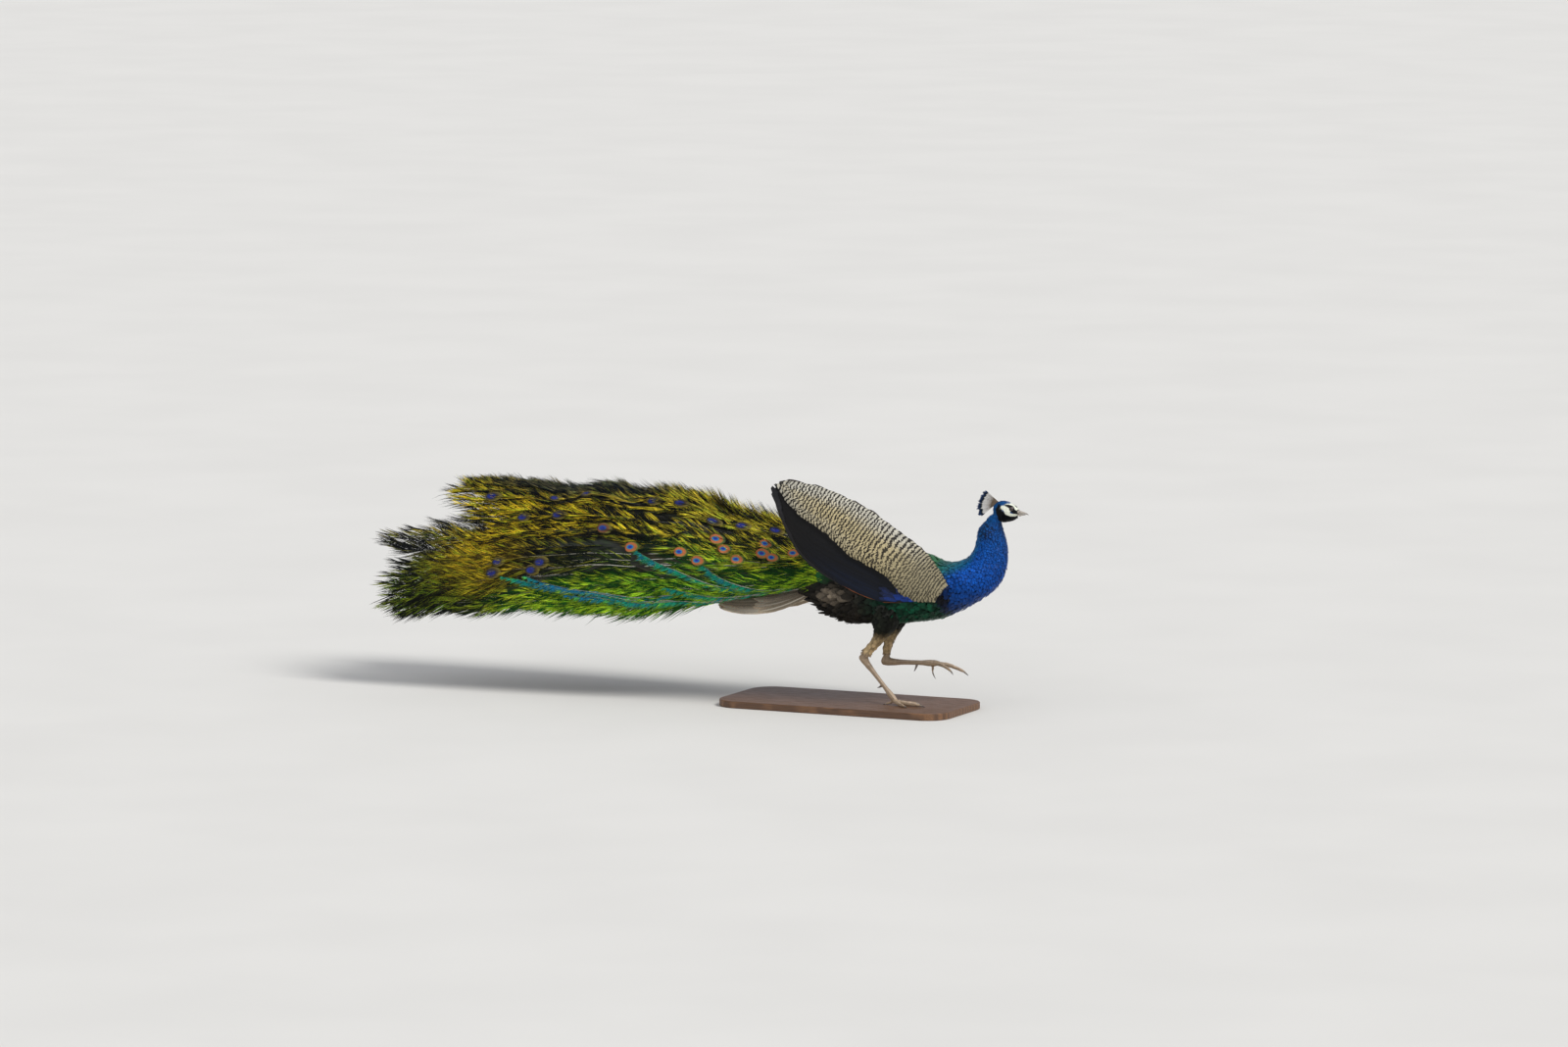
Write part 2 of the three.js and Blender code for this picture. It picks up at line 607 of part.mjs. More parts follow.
/** A closed solid from two stacked grids of points, its edges joined. */
function sheetSolid(points, rows, columns) {
  const faces = [];
  const at = (layer, row, column) => (layer * (rows + 1) + row) * (columns + 1) + column;
  const quad = (a, b, c, d) => faces.push([a, b, c], [a, c, d]);
  for (let row = 0; row < rows; row += 1) {
    const far = row + 1;
    for (let column = 0; column < columns; column += 1) {
      const next = column + 1;
      quad(at(0, row, column), at(0, row, next), at(0, far, next), at(0, far, column));
      quad(at(1, row, column), at(1, far, column), at(1, far, next), at(1, row, next));
    }
    quad(at(0, row, 0), at(0, far, 0), at(1, far, 0), at(1, row, 0));
    quad(at(0, far, columns), at(0, row, columns), at(1, row, columns), at(1, far, columns));
  }
  for (let column = 0; column < columns; column += 1) {
    const next = column + 1;
    quad(at(0, 0, next), at(0, 0, column), at(1, 0, column), at(1, 0, next));
    quad(at(0, rows, column), at(0, rows, next), at(1, rows, next), at(1, rows, column));
  }
  return facedSolid(points, faces);
}

/** A place on the train's arch: X, angle round it from the ridge and height off it. */
function archPlace(sections, share, angle, off) {
  const [x, ridge, halfWidth, depth] = sections(share);
  const turn = radians(angle);
  const z = ridge - depth + (depth + off) * Math.cos(turn);
  return new THREE.Vector3(x, (halfWidth + off) * Math.sin(turn), z);
}

/** One tapering tract of the train between two angles, ending in a ragged point. */
function trainTract({ from, to, start, end, off, thickness, steps }) {
  const sections = through(TRAIN_SECTIONS);
  const middle = (from + to) / 2;
  return ringedSolid(steps, 8, (share, angle) => {
    const along = THREE.MathUtils.lerp(start, end, share);
    const narrowing = Math.max(0, (share - TRACT_TAPER.from) / (1 - TRACT_TAPER.from));
    const taper = Math.max(TRACT_TAPER.least, Math.sqrt(1 - narrowing ** 2));
    const half = ((to - from) / 2) * taper;
    const deep = (thickness / 4) * (1 + taper);
    const turn = middle + half * signedPower(Math.cos(angle), 0.7);
    return archPlace(sections, along, turn, off + deep * signedPower(Math.sin(angle), 0.8));
  });
}

/** Tracts side by side over the arch, numbered from the bird's right. */
function tractRow(name, row, { off, reach, material, trunk }) {
  const width = (2 * row.edge) / row.count;
  return Array.from({ length: row.count }, (_, number) => {
    const from = -row.edge + number * width + row.parting / 2;
    const to = from + width - row.parting;
    const end = reach(Math.abs((from + to) / 2) / row.edge);
    const tract = trainTract({ ...row, from, to, end, off });
    return mesh(`${name}_${number + 1}`, tract.subtract(trunk), material);
  });
}

/** The train: long tracts side by side, and shorter ones lying over their roots. */
function trainPieces(trunk) {
  const sunk = -TRAIN_TRACTS.thickness / 2;
  const lift = TRAIN_OVERLAYS.thickness / 2 + OVERLAY_CLEARANCE;
  const under = { off: sunk, reach: curve(TRAIN_REACH), material: FINISHES.trainFeather };
  const over = { off: lift, reach: () => TRAIN_OVERLAYS.end, material: FINISHES.greenFeather };
  return [
    ...tractRow("train", TRAIN_TRACTS, { ...under, trunk }),
    ...tractRow("train_root", TRAIN_OVERLAYS, { ...over, trunk }),
  ];
}

// ---- Base ---------------------------------------------------------------------------------------

/** The flat base: a plate with round corners and chamfered edges. */
function basePiece() {
  const { length, width, thickness, corner, chamfer } = BASE;
  const outline = new THREE.Shape();
  const x = length / 2 - chamfer;
  const y = width / 2 - chamfer;
  outline.absarc(x - corner, y - corner, corner, 0, Math.PI / 2);
  outline.absarc(corner - x, y - corner, corner, Math.PI / 2, Math.PI);
  outline.absarc(corner - x, corner - y, corner, Math.PI, Math.PI * 1.5);
  outline.absarc(x - corner, corner - y, corner, Math.PI * 1.5, Math.PI * 2);
  const bevel = { bevelThickness: chamfer, bevelSize: chamfer, bevelSegments: 1 };
  const depth = thickness - 2 * chamfer;
  const plate = new THREE.ExtrudeGeometry(outline, { depth, curveSegments: 3, ...bevel });
  return mesh("stand_base", asSolid(plate.translate(0, 0, chamfer)), FINISHES.wood);
}

// ---- The model ----------------------------------------------------------------------------------

const trunk = trunkCutter();
const bird = new THREE.Group();
bird.position.copy(FOOTPRINT);
bird.add(...headPieces(), ...trunkPieces(), tailPiece(trunk), ...trainPieces(trunk));
Object.keys(FACES).forEach((side) => bird.add(...legPieces(side, trunk), ...wingPieces(side, trunk)));

const model = new THREE.Group();
model.add(basePiece(), bird);
export default model;
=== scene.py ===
"""The looks of a life-size running peacock: one skin, its plumage, bill, eyes, feet and base.

Metres, +Z up, the bird facing +X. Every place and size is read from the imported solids, so each
piece lies where the solid it stands for lies.
"""

from __future__ import annotations

import logging
import math
from collections.abc import Callable, Sequence
from dataclasses import dataclass, field
from enum import Enum
from functools import partialmethod
from itertools import pairwise
from typing import Self

import bmesh
import bpy
import numpy as np
from bmesh.types import BMesh
from bpy.types import Material, Mesh, Object
from mathutils import Matrix, Vector
from mathutils.bvhtree import BVHTree
from mathutils.kdtree import KDTree

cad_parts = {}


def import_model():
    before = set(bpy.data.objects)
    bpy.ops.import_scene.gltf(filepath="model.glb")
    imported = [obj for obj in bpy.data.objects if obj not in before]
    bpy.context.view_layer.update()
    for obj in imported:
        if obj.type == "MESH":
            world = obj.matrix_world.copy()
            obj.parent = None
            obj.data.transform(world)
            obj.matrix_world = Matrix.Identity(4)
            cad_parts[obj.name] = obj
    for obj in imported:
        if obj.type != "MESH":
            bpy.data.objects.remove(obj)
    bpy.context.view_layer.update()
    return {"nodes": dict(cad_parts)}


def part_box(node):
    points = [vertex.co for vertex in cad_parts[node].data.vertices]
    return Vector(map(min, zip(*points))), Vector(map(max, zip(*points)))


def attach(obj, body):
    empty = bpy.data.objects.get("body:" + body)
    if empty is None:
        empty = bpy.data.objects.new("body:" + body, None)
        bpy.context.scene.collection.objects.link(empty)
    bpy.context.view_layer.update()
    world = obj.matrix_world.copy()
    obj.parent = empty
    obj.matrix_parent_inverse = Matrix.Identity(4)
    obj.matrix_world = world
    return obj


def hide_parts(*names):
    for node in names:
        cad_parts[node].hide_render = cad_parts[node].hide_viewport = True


LOG = logging.getLogger("peacock")
BODY = "root"
MM = 0.001
WELD = 1e-5  # how near two vertices are that count as one
PATCH = 0.003  # width of one tuft's patch on the bake map
BAKE_MAP = "OFBake"
VANE_MAP = "Vane"  # across a strand, then along it
Array = np.ndarray
Colour = tuple[float, float, float]


class Side(Enum):
    """The two sides of the bird, with the sign of Y on each."""

    LEFT = 1.0
    RIGHT = -1.0

    @property
    def word(self) -> str:
        """The side's name as node names end with it."""
        return self.name.lower()


# ---- Numbers ----


def paint(code: int) -> Colour:
    """Linear colour of a screen colour written as one hexadecimal number.

    Args:
        code: Red, green and blue as 0xRRGGBB.

    Returns:
        The three linear shares.
    """
    parts = [(code >> shift & 255) / 255 for shift in (16, 8, 0)]
    return tuple(part / 12.92 if part <= 0.04045 else ((part + 0.055) / 1.055) ** 2.4 for part in parts)


def unit(vectors: Array) -> Array:
    """Vectors of length one, along the last axis."""
    return vectors / np.maximum(np.linalg.norm(vectors, axis=-1, keepdims=True), 1e-9)


def dot(first: Array, second: Array) -> Array:
    """Dot product along the last axis, which is kept."""
    return (first * second).sum(-1, keepdims=True)


def ease(low: float, high: float, values: Array) -> Array:
    """Smooth step from 0 at low to 1 at high; the two may be given in either order."""
    share = np.clip((values - low) / (high - low), 0, 1)
    return share * share * (3 - 2 * share)


def blend(first: Array | Colour, second: Array | Colour, share: Array) -> Array:
    """Colours or points between two others.

    Args:
        first: Where share is 0.
        second: Where share is 1.
        share: One number for each row.

    Returns:
        One row for each share.
    """
    weight = np.asarray(share)[..., None]
    return np.asarray(first) * (1 - weight) + np.asarray(second) * weight


def rows_at(rows: Sequence[Sequence[float]], share: Array) -> Array:
    """Rows read between evenly spaced ones.

    Args:
        rows: Rows of equal length.
        share: 0 at the first row, 1 at the last, of any shape.

    Returns:
        The rows at those shares, with one more axis than share.
    """
    table = np.asarray(rows, float)
    steps = np.linspace(0, 1, len(table))
    return np.stack([np.interp(share, steps, column) for column in table.T], -1)


def marked(shades: Array, strength: float = 1.0) -> Array:
    """Colours with the same marking joined on to each."""
    return np.concatenate([shades, np.full((*shades.shape[:-1], 1), strength)], -1)


def filled(grid: Array, passes: int) -> Array:
    """A grid with its gaps filled from their neighbours, then smoothed.

    Args:
        grid: Numbers, nan where there is a gap.
        passes: How often each number is averaged with its neighbours afterwards.

    Returns:
        The whole grid.
    """
    known = ~np.isnan(grid)
    values = np.where(known, grid, 0.0)
    steps = ((0, 1), (0, -1), (1, 0), (-1, 0))

    def around(array: Array) -> Array:
        """The sum of each number's four neighbours.

        Args:
            array: A grid.

        Returns:
            Their sums.
        """
        padded = np.pad(array, 1, mode="edge")
        height, width = array.shape
        return sum(padded[1 + i : 1 + i + height, 1 + j : 1 + j + width] for i, j in steps)

    while not known.all():
        count = around(known.astype(float))
        total = around(values * known)
        reached = ~known & (count > 0)
        values[reached] = total[reached] / count[reached]
        known = known | reached
    for _ in range(passes):
        values = 0.5 * values + around(values) / 8
    return values


def read_grid(grid: Array, row: Array, column: Array) -> Array:
    """Grid values between its points.

    Args:
        grid: Two axes, or three where each point holds a row of numbers.
        row: Places along the first axis, in steps of it.
        column: Places along the second axis.

    Returns:
        The values there, of row's shape.
    """
    row = np.clip(row, 0, grid.shape[0] - 1.001)
    column = np.clip(column, 0, grid.shape[1] - 1.001)
    i, j = row.astype(int), column.astype(int)
    spare = (1,) * (grid.ndim - 2)
    di, dj = ((part % 1).reshape(part.shape + spare) for part in (row, column))
    near = grid[i, j] * (1 - dj) + grid[i, j + 1] * dj
    far = grid[i + 1, j] * (1 - dj) + grid[i + 1, j + 1] * dj
    return near * (1 - di) + far * di


def rows_of(items: bpy.types.bpy_prop_collection, name: str, width: int, kind: type = float) -> Array:
    """One property of many items of a mesh.

    Args:
        items: The items.
        name: The property.
        width: How many numbers it has.
        kind: Whether they are float or int.

    Returns:
        One row for each item.
    """
    flat = np.empty(len(items) * width, np.float32 if kind is float else np.int32)
    items.foreach_get(name, flat)
    return flat.reshape(-1, width).astype(kind)


# ---- Shader nodes ----


@dataclass
class Socket:
    """One output of a shader node, which joins in shader maths as a number does."""

    recipe: Recipe
    output: bpy.types.NodeSocket

    def maths(self, operation: str, *others: Socket | float) -> Socket:
        """A Math node on this value and others."""
        return self.recipe.node("Math", {"operation": operation}, dict(enumerate((self, *others))))

    def turned(self, operation: str, other: float) -> Socket:
        """A Math node on a number and this value."""
        return self.recipe.node("Math", {"operation": operation}, {0: other, 1: self})

    __add__ = partialmethod(maths, "ADD")
    __sub__ = partialmethod(maths, "SUBTRACT")
    __mul__ = partialmethod(maths, "MULTIPLY")
    __truediv__ = partialmethod(maths, "DIVIDE")
    __pow__ = partialmethod(maths, "POWER")
    __abs__ = partialmethod(maths, "ABSOLUTE")
    __radd__ = partialmethod(turned, "ADD")
    __rsub__ = partialmethod(turned, "SUBTRACT")
    __rmul__ = partialmethod(turned, "MULTIPLY")

    def wave(self) -> Socket:
        """Sine of this many turns, as 0 to 1."""
        return (self * math.tau).maths("SINE") * 0.5 + 0.5

    def step(self, low: float, high: float) -> Socket:
        """Smooth step from 0 at low to 1 at high, or down where high is the lower."""
        names = {"Value": self, "From Min": low, "From Max": high}
        return self.recipe.node("MapRange", {"interpolation_type": "SMOOTHSTEP"}, names)


class Recipe:
    """The node tree of one material."""

    def __init__(self, name: str) -> None:
        """Starts a material of this name.

        Args:
            name: The material's name.
        """
        self.material = bpy.data.materials.new(name)
        self.material.use_nodes = True
        self.tree = self.material.node_tree
        self.shader = next(n for n in self.tree.nodes if n.type == "BSDF_PRINCIPLED")

    def _feed(self, socket: bpy.types.NodeSocket, value: Socket | float | Sequence[float]) -> None:
        """Links a value to a socket, or sets it.

        Args:
            socket: An input.
            value: A link, a number or a colour.
        """
        if isinstance(value, Socket):
            self.tree.links.new(value.output, socket)
        else:
            socket.default_value = value

    def node(
        self,
        kind: str,
        settings: dict[str, str] | None = None,
        inputs: dict[str | int, Socket | float | Sequence[float]] | None = None,
        output: int | str = 0,
    ) -> Socket:
        """Adds one node.

        Args:
            kind: The node's type, without ShaderNode.
            settings: The node's own settings.
            inputs: Values or links of its sockets, by name or number.
            output: Which output comes back.

        Returns:
            That output.
        """
        made = self.tree.nodes.new(f"ShaderNode{kind}")
        for name, value in (settings or {}).items():
            setattr(made, name, value)
        for name, value in (inputs or {}).items():
            self._feed(made.inputs[name], value)
        return Socket(self, made.outputs[output])

    def ramp(self, share: Socket, stops: Sequence[tuple[float, int]]) -> Socket:
        """The colour at a share of a ramp, whose stops are places and screen colours.

        Args:
            share: 0 to 1.
            stops: Places and colours.

        Returns:
            The colour.
        """
        shade = self.node("ValToRGB", None, {"Fac": share})
        elements = shade.output.node.color_ramp.elements
        while len(elements) < len(stops):
            elements.new(1.0)
        for element, (place, code) in zip(elements, stops, strict=True):
            element.position = place
            element.color = (*paint(code), 1.0)
        return shade

    def mix(self, share: Socket | float, first: Socket | Colour, second: Socket | Colour) -> Socket:
        """A colour between two others.

        Args:
            share: 0 for the first, 1 for the second.
            first: A colour.
            second: A colour.

        Returns:
            The colour.
        """
        inputs = {0: share}
        for number, shade in ((6, first), (7, second)):
            inputs[number] = shade if isinstance(shade, Socket) else (*shade, 1.0)
        return self.node("Mix", {"data_type": "RGBA"}, inputs, 2)

    def scaled(self, shade: Socket, share: Socket | float) -> Socket:
        """A colour made darker or lighter."""
        return self.node("VectorMath", {"operation": "SCALE"}, {0: shade, "Scale": share})

    def parts(self, vector: Socket) -> tuple[Socket, Socket, Socket]:
        """The three numbers of a vector.

        Args:
            vector: The vector.

        Returns:
            Its numbers.
        """
        first = self.node("SeparateXYZ", None, {0: vector})
        outputs = first.output.node.outputs
        return first, Socket(self, outputs[1]), Socket(self, outputs[2])

    def place(self) -> Socket:
        """Object coordinates."""
        return self.node("TexCoord", output="Object")

    def noise(self, size: float, detail: float = 2.0, stretch: Sequence[float] = (1, 1, 1)) -> Socket:
        """Noise over the piece, 0 to 1.

        Args:
            size: Size of its lumps.
            detail: How many finer layers it has.
            stretch: How much longer the lumps are along X, Y and Z.

        Returns:
            The noise.
        """
        scale = [1 / (size * part) for part in stretch]
        place = self.node("Mapping", None, {"Vector": self.place(), "Scale": scale})
        return self.node("TexNoise", None, {"Vector": place, "Scale": 1.0, "Detail": detail})

    def attribute(self, name: str) -> Socket:
        """A colour or vector held on the mesh."""
        return self.node("Attribute", {"attribute_name": name})

    def tint(self) -> tuple[Socket, Socket]:
        """The mesh's own colour, and the marking that it carries beside it."""
        tint = self.attribute("Tint")
        return tint, Socket(self, tint.output.node.outputs["Alpha"])

    def vane(self) -> tuple[Socket, Socket]:
        """Places across a strand and along it, 0 to 1."""
        return self.parts(self.node("UVMap", {"uv_map": VANE_MAP}))[:2]

    def bump(self, height: Socket, depth: float, strength: float = 1.0) -> Socket:
        """A normal bent by a height of 0 to 1, worth depth in metres."""
        return self.node("Bump", None, {"Height": height, "Distance": depth, "Strength": strength})

    def finish(self, **inputs: Socket | float | Sequence[float]) -> Material:
        """Feeds the shader and ends the recipe.

        Args:
            inputs: Values or links by socket name, with _ for a space.

        Returns:
            The material.
        """
        for name, value in inputs.items():
            self._feed(self.shader.inputs[name.replace("_", " ")], value)
        return self.material


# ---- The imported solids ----


@dataclass
class Solids:
    """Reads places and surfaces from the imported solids."""

    nodes: dict[str, Object]

    def starting(self, *words: str) -> list[str]:
        """Names of the nodes that start with one of these words."""
        return sorted(name for name in self.nodes if name.startswith(words))

    def points(self, *names: str) -> Array:
        """All vertices of some nodes, one row each."""
        return np.concatenate([rows_of(self.nodes[name].data.vertices, "co", 3) for name in names])

    def end(self, name: str, direction: Sequence[float], share: float = 0.1) -> Array:
        """Middle of a node's end.

        Args:
            name: The node.
            direction: Which end.
            share: How much of the node's length counts as that end.

        Returns:
            The end's middle.
        """
        points = self.points(name)
        along = points @ unit(np.asarray(direction, float))
        return points[along >= along.max() - share * np.ptp(along)].mean(0)

    def from_hocks(self, points: Array) -> Array:
        """Distance of each point from the nearer hock."""
        hocks = [self.end(f"thigh_{side.word}", (0, 0, -1), 0.06) for side in Side]
        return np.min([np.linalg.norm(points - hock, axis=1) for hock in hocks], axis=0)

    def middle(self, name: str) -> Array:
        """Middle of a node's box."""
        low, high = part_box(name)
        return np.array((low + high) / 2)

    def merged(self, names: Sequence[str], grown: float = 0.0) -> BMesh:
        """Some nodes as one bmesh, each welded and grown along its normals.

        Args:
            names: The nodes.
            grown: How far each surface moves out.

        Returns:
            The bmesh, which the caller frees.
        """
        whole = bmesh.new()
        for name in names:
            part = bmesh.new()
            part.from_mesh(self.nodes[name].data)
            bmesh.ops.remove_doubles(part, verts=part.verts, dist=WELD)
            part.normal_update()
            for vertex in part.verts:
                vertex.co += vertex.normal * grown
            carrier = mesh_of(name, part)
            whole.from_mesh(carrier)
            bpy.data.meshes.remove(carrier)
        return whole

    def surface(self, *names: str) -> BVHTree:
        """The surface of some nodes, for rays and nearest points.

        Args:
            names: The nodes.

        Returns:
            Their surface.
        """
        shape = self.merged(names)
        tree = BVHTree.FromBMesh(shape)
        shape.free()
        return tree


class LabelledSurface:
    """The surface of several nodes, which knows the node of each of its points."""

    def __init__(self, solids: Solids, names: Sequence[str]) -> None:
        """Reads the nodes' surfaces.

        Args:
            solids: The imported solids.
            names: The nodes.
        """
        points: list[Vector] = []
        faces: list[list[int]] = []
        self.owners: list[int] = []
        for number, name in enumerate(names):
            mesh = solids.nodes[name].data
            start = len(points)
            points += [vertex.co.copy() for vertex in mesh.vertices]
            faces += [[start + corner for corner in face.vertices] for face in mesh.polygons]
            self.owners += [number] * len(mesh.polygons)
        self.tree = BVHTree.FromPolygons(points, faces)

    def owner(self, points: Array) -> Array:
        """The number of the node nearest to each point."""
        return np.array([self.owners[self.tree.find_nearest(Vector(point))[2]] for point in points])


class BodyLine:
    """The line from the bill through neck and trunk to the tail, which the coat follows."""

    STOPS = ("head", "neck_upper", "neck_lower", "breast", "trunk", "rump")

    def __init__(self, solids: Solids) -> None:
        """Draws the line through the middles of the nodes that it passes.

        Args:
            solids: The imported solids.
        """
        middles = [solids.middle(name) for name in self.STOPS]
        first = solids.end("bill_upper", (1, 0, 0))
        last = solids.end("tail", (-1, 0, 0.2))
        rows = np.array([first, *middles, last])
        rows[:, 1] = 0.0
        self.line = rows_at(rows, np.linspace(0, 1, 141))
        for _ in range(6):
            self.line[1:-1] = (self.line[:-2] + 2 * self.line[1:-1] + self.line[2:]) / 4
        self.lie = unit(np.gradient(self.line, axis=0))
        self.back = np.cross((0.0, 1.0, 0.0), self.lie)

    def locate(self, points: Array) -> tuple[Array, Array, Array]:
        """Where points lie along and round the line.

        Args:
            points: One row each.

        Returns:
            The stop number along the line, 1 at the head's middle; how far up on the back, -1 to 1;
            and the line's direction there.
        """
        gaps = np.linalg.norm(points[:, None] - self.line[None], axis=2)
        nearest = gaps.argmin(1)
        rise = dot(unit(points - self.line[nearest]), self.back[nearest])[:, 0]
        stops = nearest / (len(self.line) - 1) * (len(self.STOPS) + 1)
        return stops, rise, self.lie[nearest]


# ---- Strands: vanes, barbs and shafts ----


class StrandShape:
    """A closed strand of a few stations, pointed at its end, that all strands of a piece share."""

    def __init__(self, stations: int, corners: int) -> None:
        """Makes the shape.

        Args:
            stations: Rings along it, with the point at its end.
            corners: Corners of its cross section: 3 for a barb, 4 or more for a vane or a shaft.
        """
        mould = bmesh.new()
        last = stations - 1
        size = {"segments": corners, "radius1": 1.0, "radius2": 1.0, "depth": float(last)}
        bmesh.ops.create_cone(mould, cap_ends=True, **size)
        for station in range(1, last):
            whole = [*mould.verts, *mould.edges, *mould.faces]
            level = (0, 0, station - last / 2)
            bmesh.ops.bisect_plane(mould, geom=whole, plane_co=level, plane_no=(0, 0, 1))
        top = [vertex for vertex in mould.verts if vertex.co.z > last / 2 - 0.1]
        bmesh.ops.pointmerge(mould, verts=top, merge_co=(0, 0, last / 2))
        bmesh.ops.triangulate(mould, faces=mould.faces)
        bmesh.ops.recalc_face_normals(mould, faces=mould.faces)
        mould.verts.index_update()
        points = np.array([vertex.co for vertex in mould.verts])
        self.stations = stations
        self.station = np.rint(points[:, 2] + last / 2).astype(int)
        self.across = points[:, 0]
        self.above = points[:, 1]
        self.faces = np.array([[corner.index for corner in face.verts] for face in mould.faces])
        mould.free()


class Rows:
    """Arrays with one row for each of many things."""

    def chosen(self, kept: Array) -> Self:
        """Only some of the things."""
        return type(self)(**{name: getattr(self, name)[kept] for name in self.__dataclass_fields__})

    @classmethod
    def joined(cls, lots: Sequence[Self]) -> Self:
        """Several lots of things as one."""
        names = cls.__dataclass_fields__
        return cls(**{name: np.concatenate([getattr(part, name) for part in lots]) for name in names})


@dataclass
class Strands(Rows):
    """Many strands of one shape, with numbers for each strand and station."""

    spine: Array
    normal: Array
    width: Array  # half the width
    depth: Array  # half the thickness
    tint: Array  # colour, and how strongly it is marked
    root: Array  # each strand's place on the bake map
    lot: Array  # a number of each strand's own


@dataclass
class Piece:
    """One joined mesh of strands."""

    name: str
    shape: StrandShape  # which all its strands share
    crisp: bool = True  # whether a vane's two edges stay sharp
    patch: float = PATCH

    def build(
        self, lots: Sequence[Strands], material: Material, slot: str, replaced: Sequence[str] = ()
    ) -> None:
        """Makes the mesh and dresses it.

        Args:
            lots: The strands.
            material: Its finish.
            slot: Not used.
            replaced: The nodes it stands for.
        """
        shape, strands = self.shape, Strands.joined(lots)
        tangent = unit(np.gradient(strands.spine, axis=1))
        side = unit(np.cross(strands.normal, tangent))
        above = np.cross(tangent, side)
        station = shape.station
        across = (shape.across * strands.width[:, station])[..., None]
        height = (shape.above * strands.depth[:, station])[..., None]
        points = strands.spine[:, station] + side[:, station] * across + above[:, station] * height
        count, per = points.shape[:2]
        faces = (shape.faces[None] + (np.arange(count) * per)[:, None, None]).reshape(-1, 3)
        mesh = mesh_from(self.name, points.reshape(-1, 3), faces)

        corner = np.stack([shape.across, station / (shape.stations - 1)], -1)
        places = strands.root[:, None] + (corner - (0.0, 0.5)) * (self.patch / 2, self.patch)
        set_map(mesh, BAKE_MAP, places.reshape(-1, 2), faces)
        vane = np.broadcast_to(corner * (0.5, 1.0) + (0.5, 0.0), (count, per, 2))
        set_map(mesh, VANE_MAP, vane.reshape(-1, 2), faces)
        set_tint(mesh, strands.tint[:, station])
        length = np.linalg.norm(np.diff(strands.spine, axis=1), axis=2).sum(1)
        make = np.repeat(np.stack([length, strands.width.max(1), strands.lot], -1), per, axis=0)
        mesh.attributes.new("Make", "FLOAT_VECTOR", "POINT").data.foreach_set("vector", make.ravel())
        if self.crisp:
            sharpen_edges(mesh, np.tile(shape.across, count))
        show(mesh, material, replaced)


def mesh_of(name: str, shape: BMesh) -> Mesh:
    """A smooth mesh from a bmesh, which is freed.

    Args:
        name: The mesh's name.
        shape: Its faces.

    Returns:
        The mesh.
    """
    mesh = bpy.data.meshes.new(name)
    shape.to_mesh(mesh)
    shape.free()
    mesh.shade_smooth()
    return mesh


def mesh_from(name: str, points: Array, faces: Array) -> Mesh:
    """A smooth mesh of triangles.

    Args:
        name: The mesh's name.
        points: One row for each corner.
        faces: Three corners in each row.

    Returns:
        The mesh.
    """
    mesh = bpy.data.meshes.new(name)
    mesh.vertices.add(len(points))
    mesh.vertices.foreach_set("co", points.astype(np.float32).ravel())
    mesh.loops.add(len(faces) * 3)
    mesh.loops.foreach_set("vertex_index", faces.astype(np.int32).ravel())
    mesh.polygons.add(len(faces))
    mesh.polygons.foreach_set("loop_start", np.arange(0, len(faces) * 3, 3, dtype=np.int32))
    mesh.update(calc_edges=True)
    mesh.shade_smooth()
    return mesh


def set_map(mesh: Mesh, name: str, places: Array, faces: Array) -> None:
    """Gives a mesh of triangles a UV map from one place for each vertex."""
    layer = mesh.uv_layers.new(name=name, do_init=False)
    layer.uv.foreach_set("vector", places[faces.ravel()].astype(np.float32).ravel())


def set_tint(mesh: Mesh, tint: Array) -> None:
    """Gives a mesh's vertices their colours and markings."""
    mesh.attributes.new("Tint", "FLOAT_COLOR", "POINT").data.foreach_set("color", tint.ravel())


def sharpen_edges(mesh: Mesh, across: Array) -> None:
    """Marks the two outer edges of each vane as sharp, so that its face is shaded flat across.

    Args:
        mesh: A mesh of vanes.
        across: Where each point lies across its vane.
    """
    ends = across[rows_of(mesh.edges, "vertices", 2, int)]
    outer = (np.abs(ends) > 0.95).all(1) & (ends[:, 0] * ends[:, 1] > 0)
    mesh.attributes.new("sharp_edge", "BOOLEAN", "EDGE").data.foreach_set("value", outer)


def in_scene(name: str, data: bpy.types.ID) -> Object:
    """A new object in the scene.

    Args:
        name: The object's name.
        data: What it shows.

    Returns:
        The object.
    """
    made = bpy.data.objects.new(name, data)
    bpy.context.scene.collection.objects.link(made)
    return made


def show(mesh: Mesh, material: Material, replaced: Sequence[str] = ()) -> Object:
    """Puts a finished mesh in the scene as a piece of the bird.

    Args:
        mesh: The mesh, in place.
        material: Its finish.
        replaced: The nodes it stands for.

    Returns:
        The object.
    """
    made = in_scene(mesh.name, mesh)
    mesh.materials.append(material)
    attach(made, BODY)
    if replaced:
        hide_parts(*replaced)
    LOG.info("%s: %d faces", made.name, len(mesh.polygons))
    return made


# ---- Finishes ----


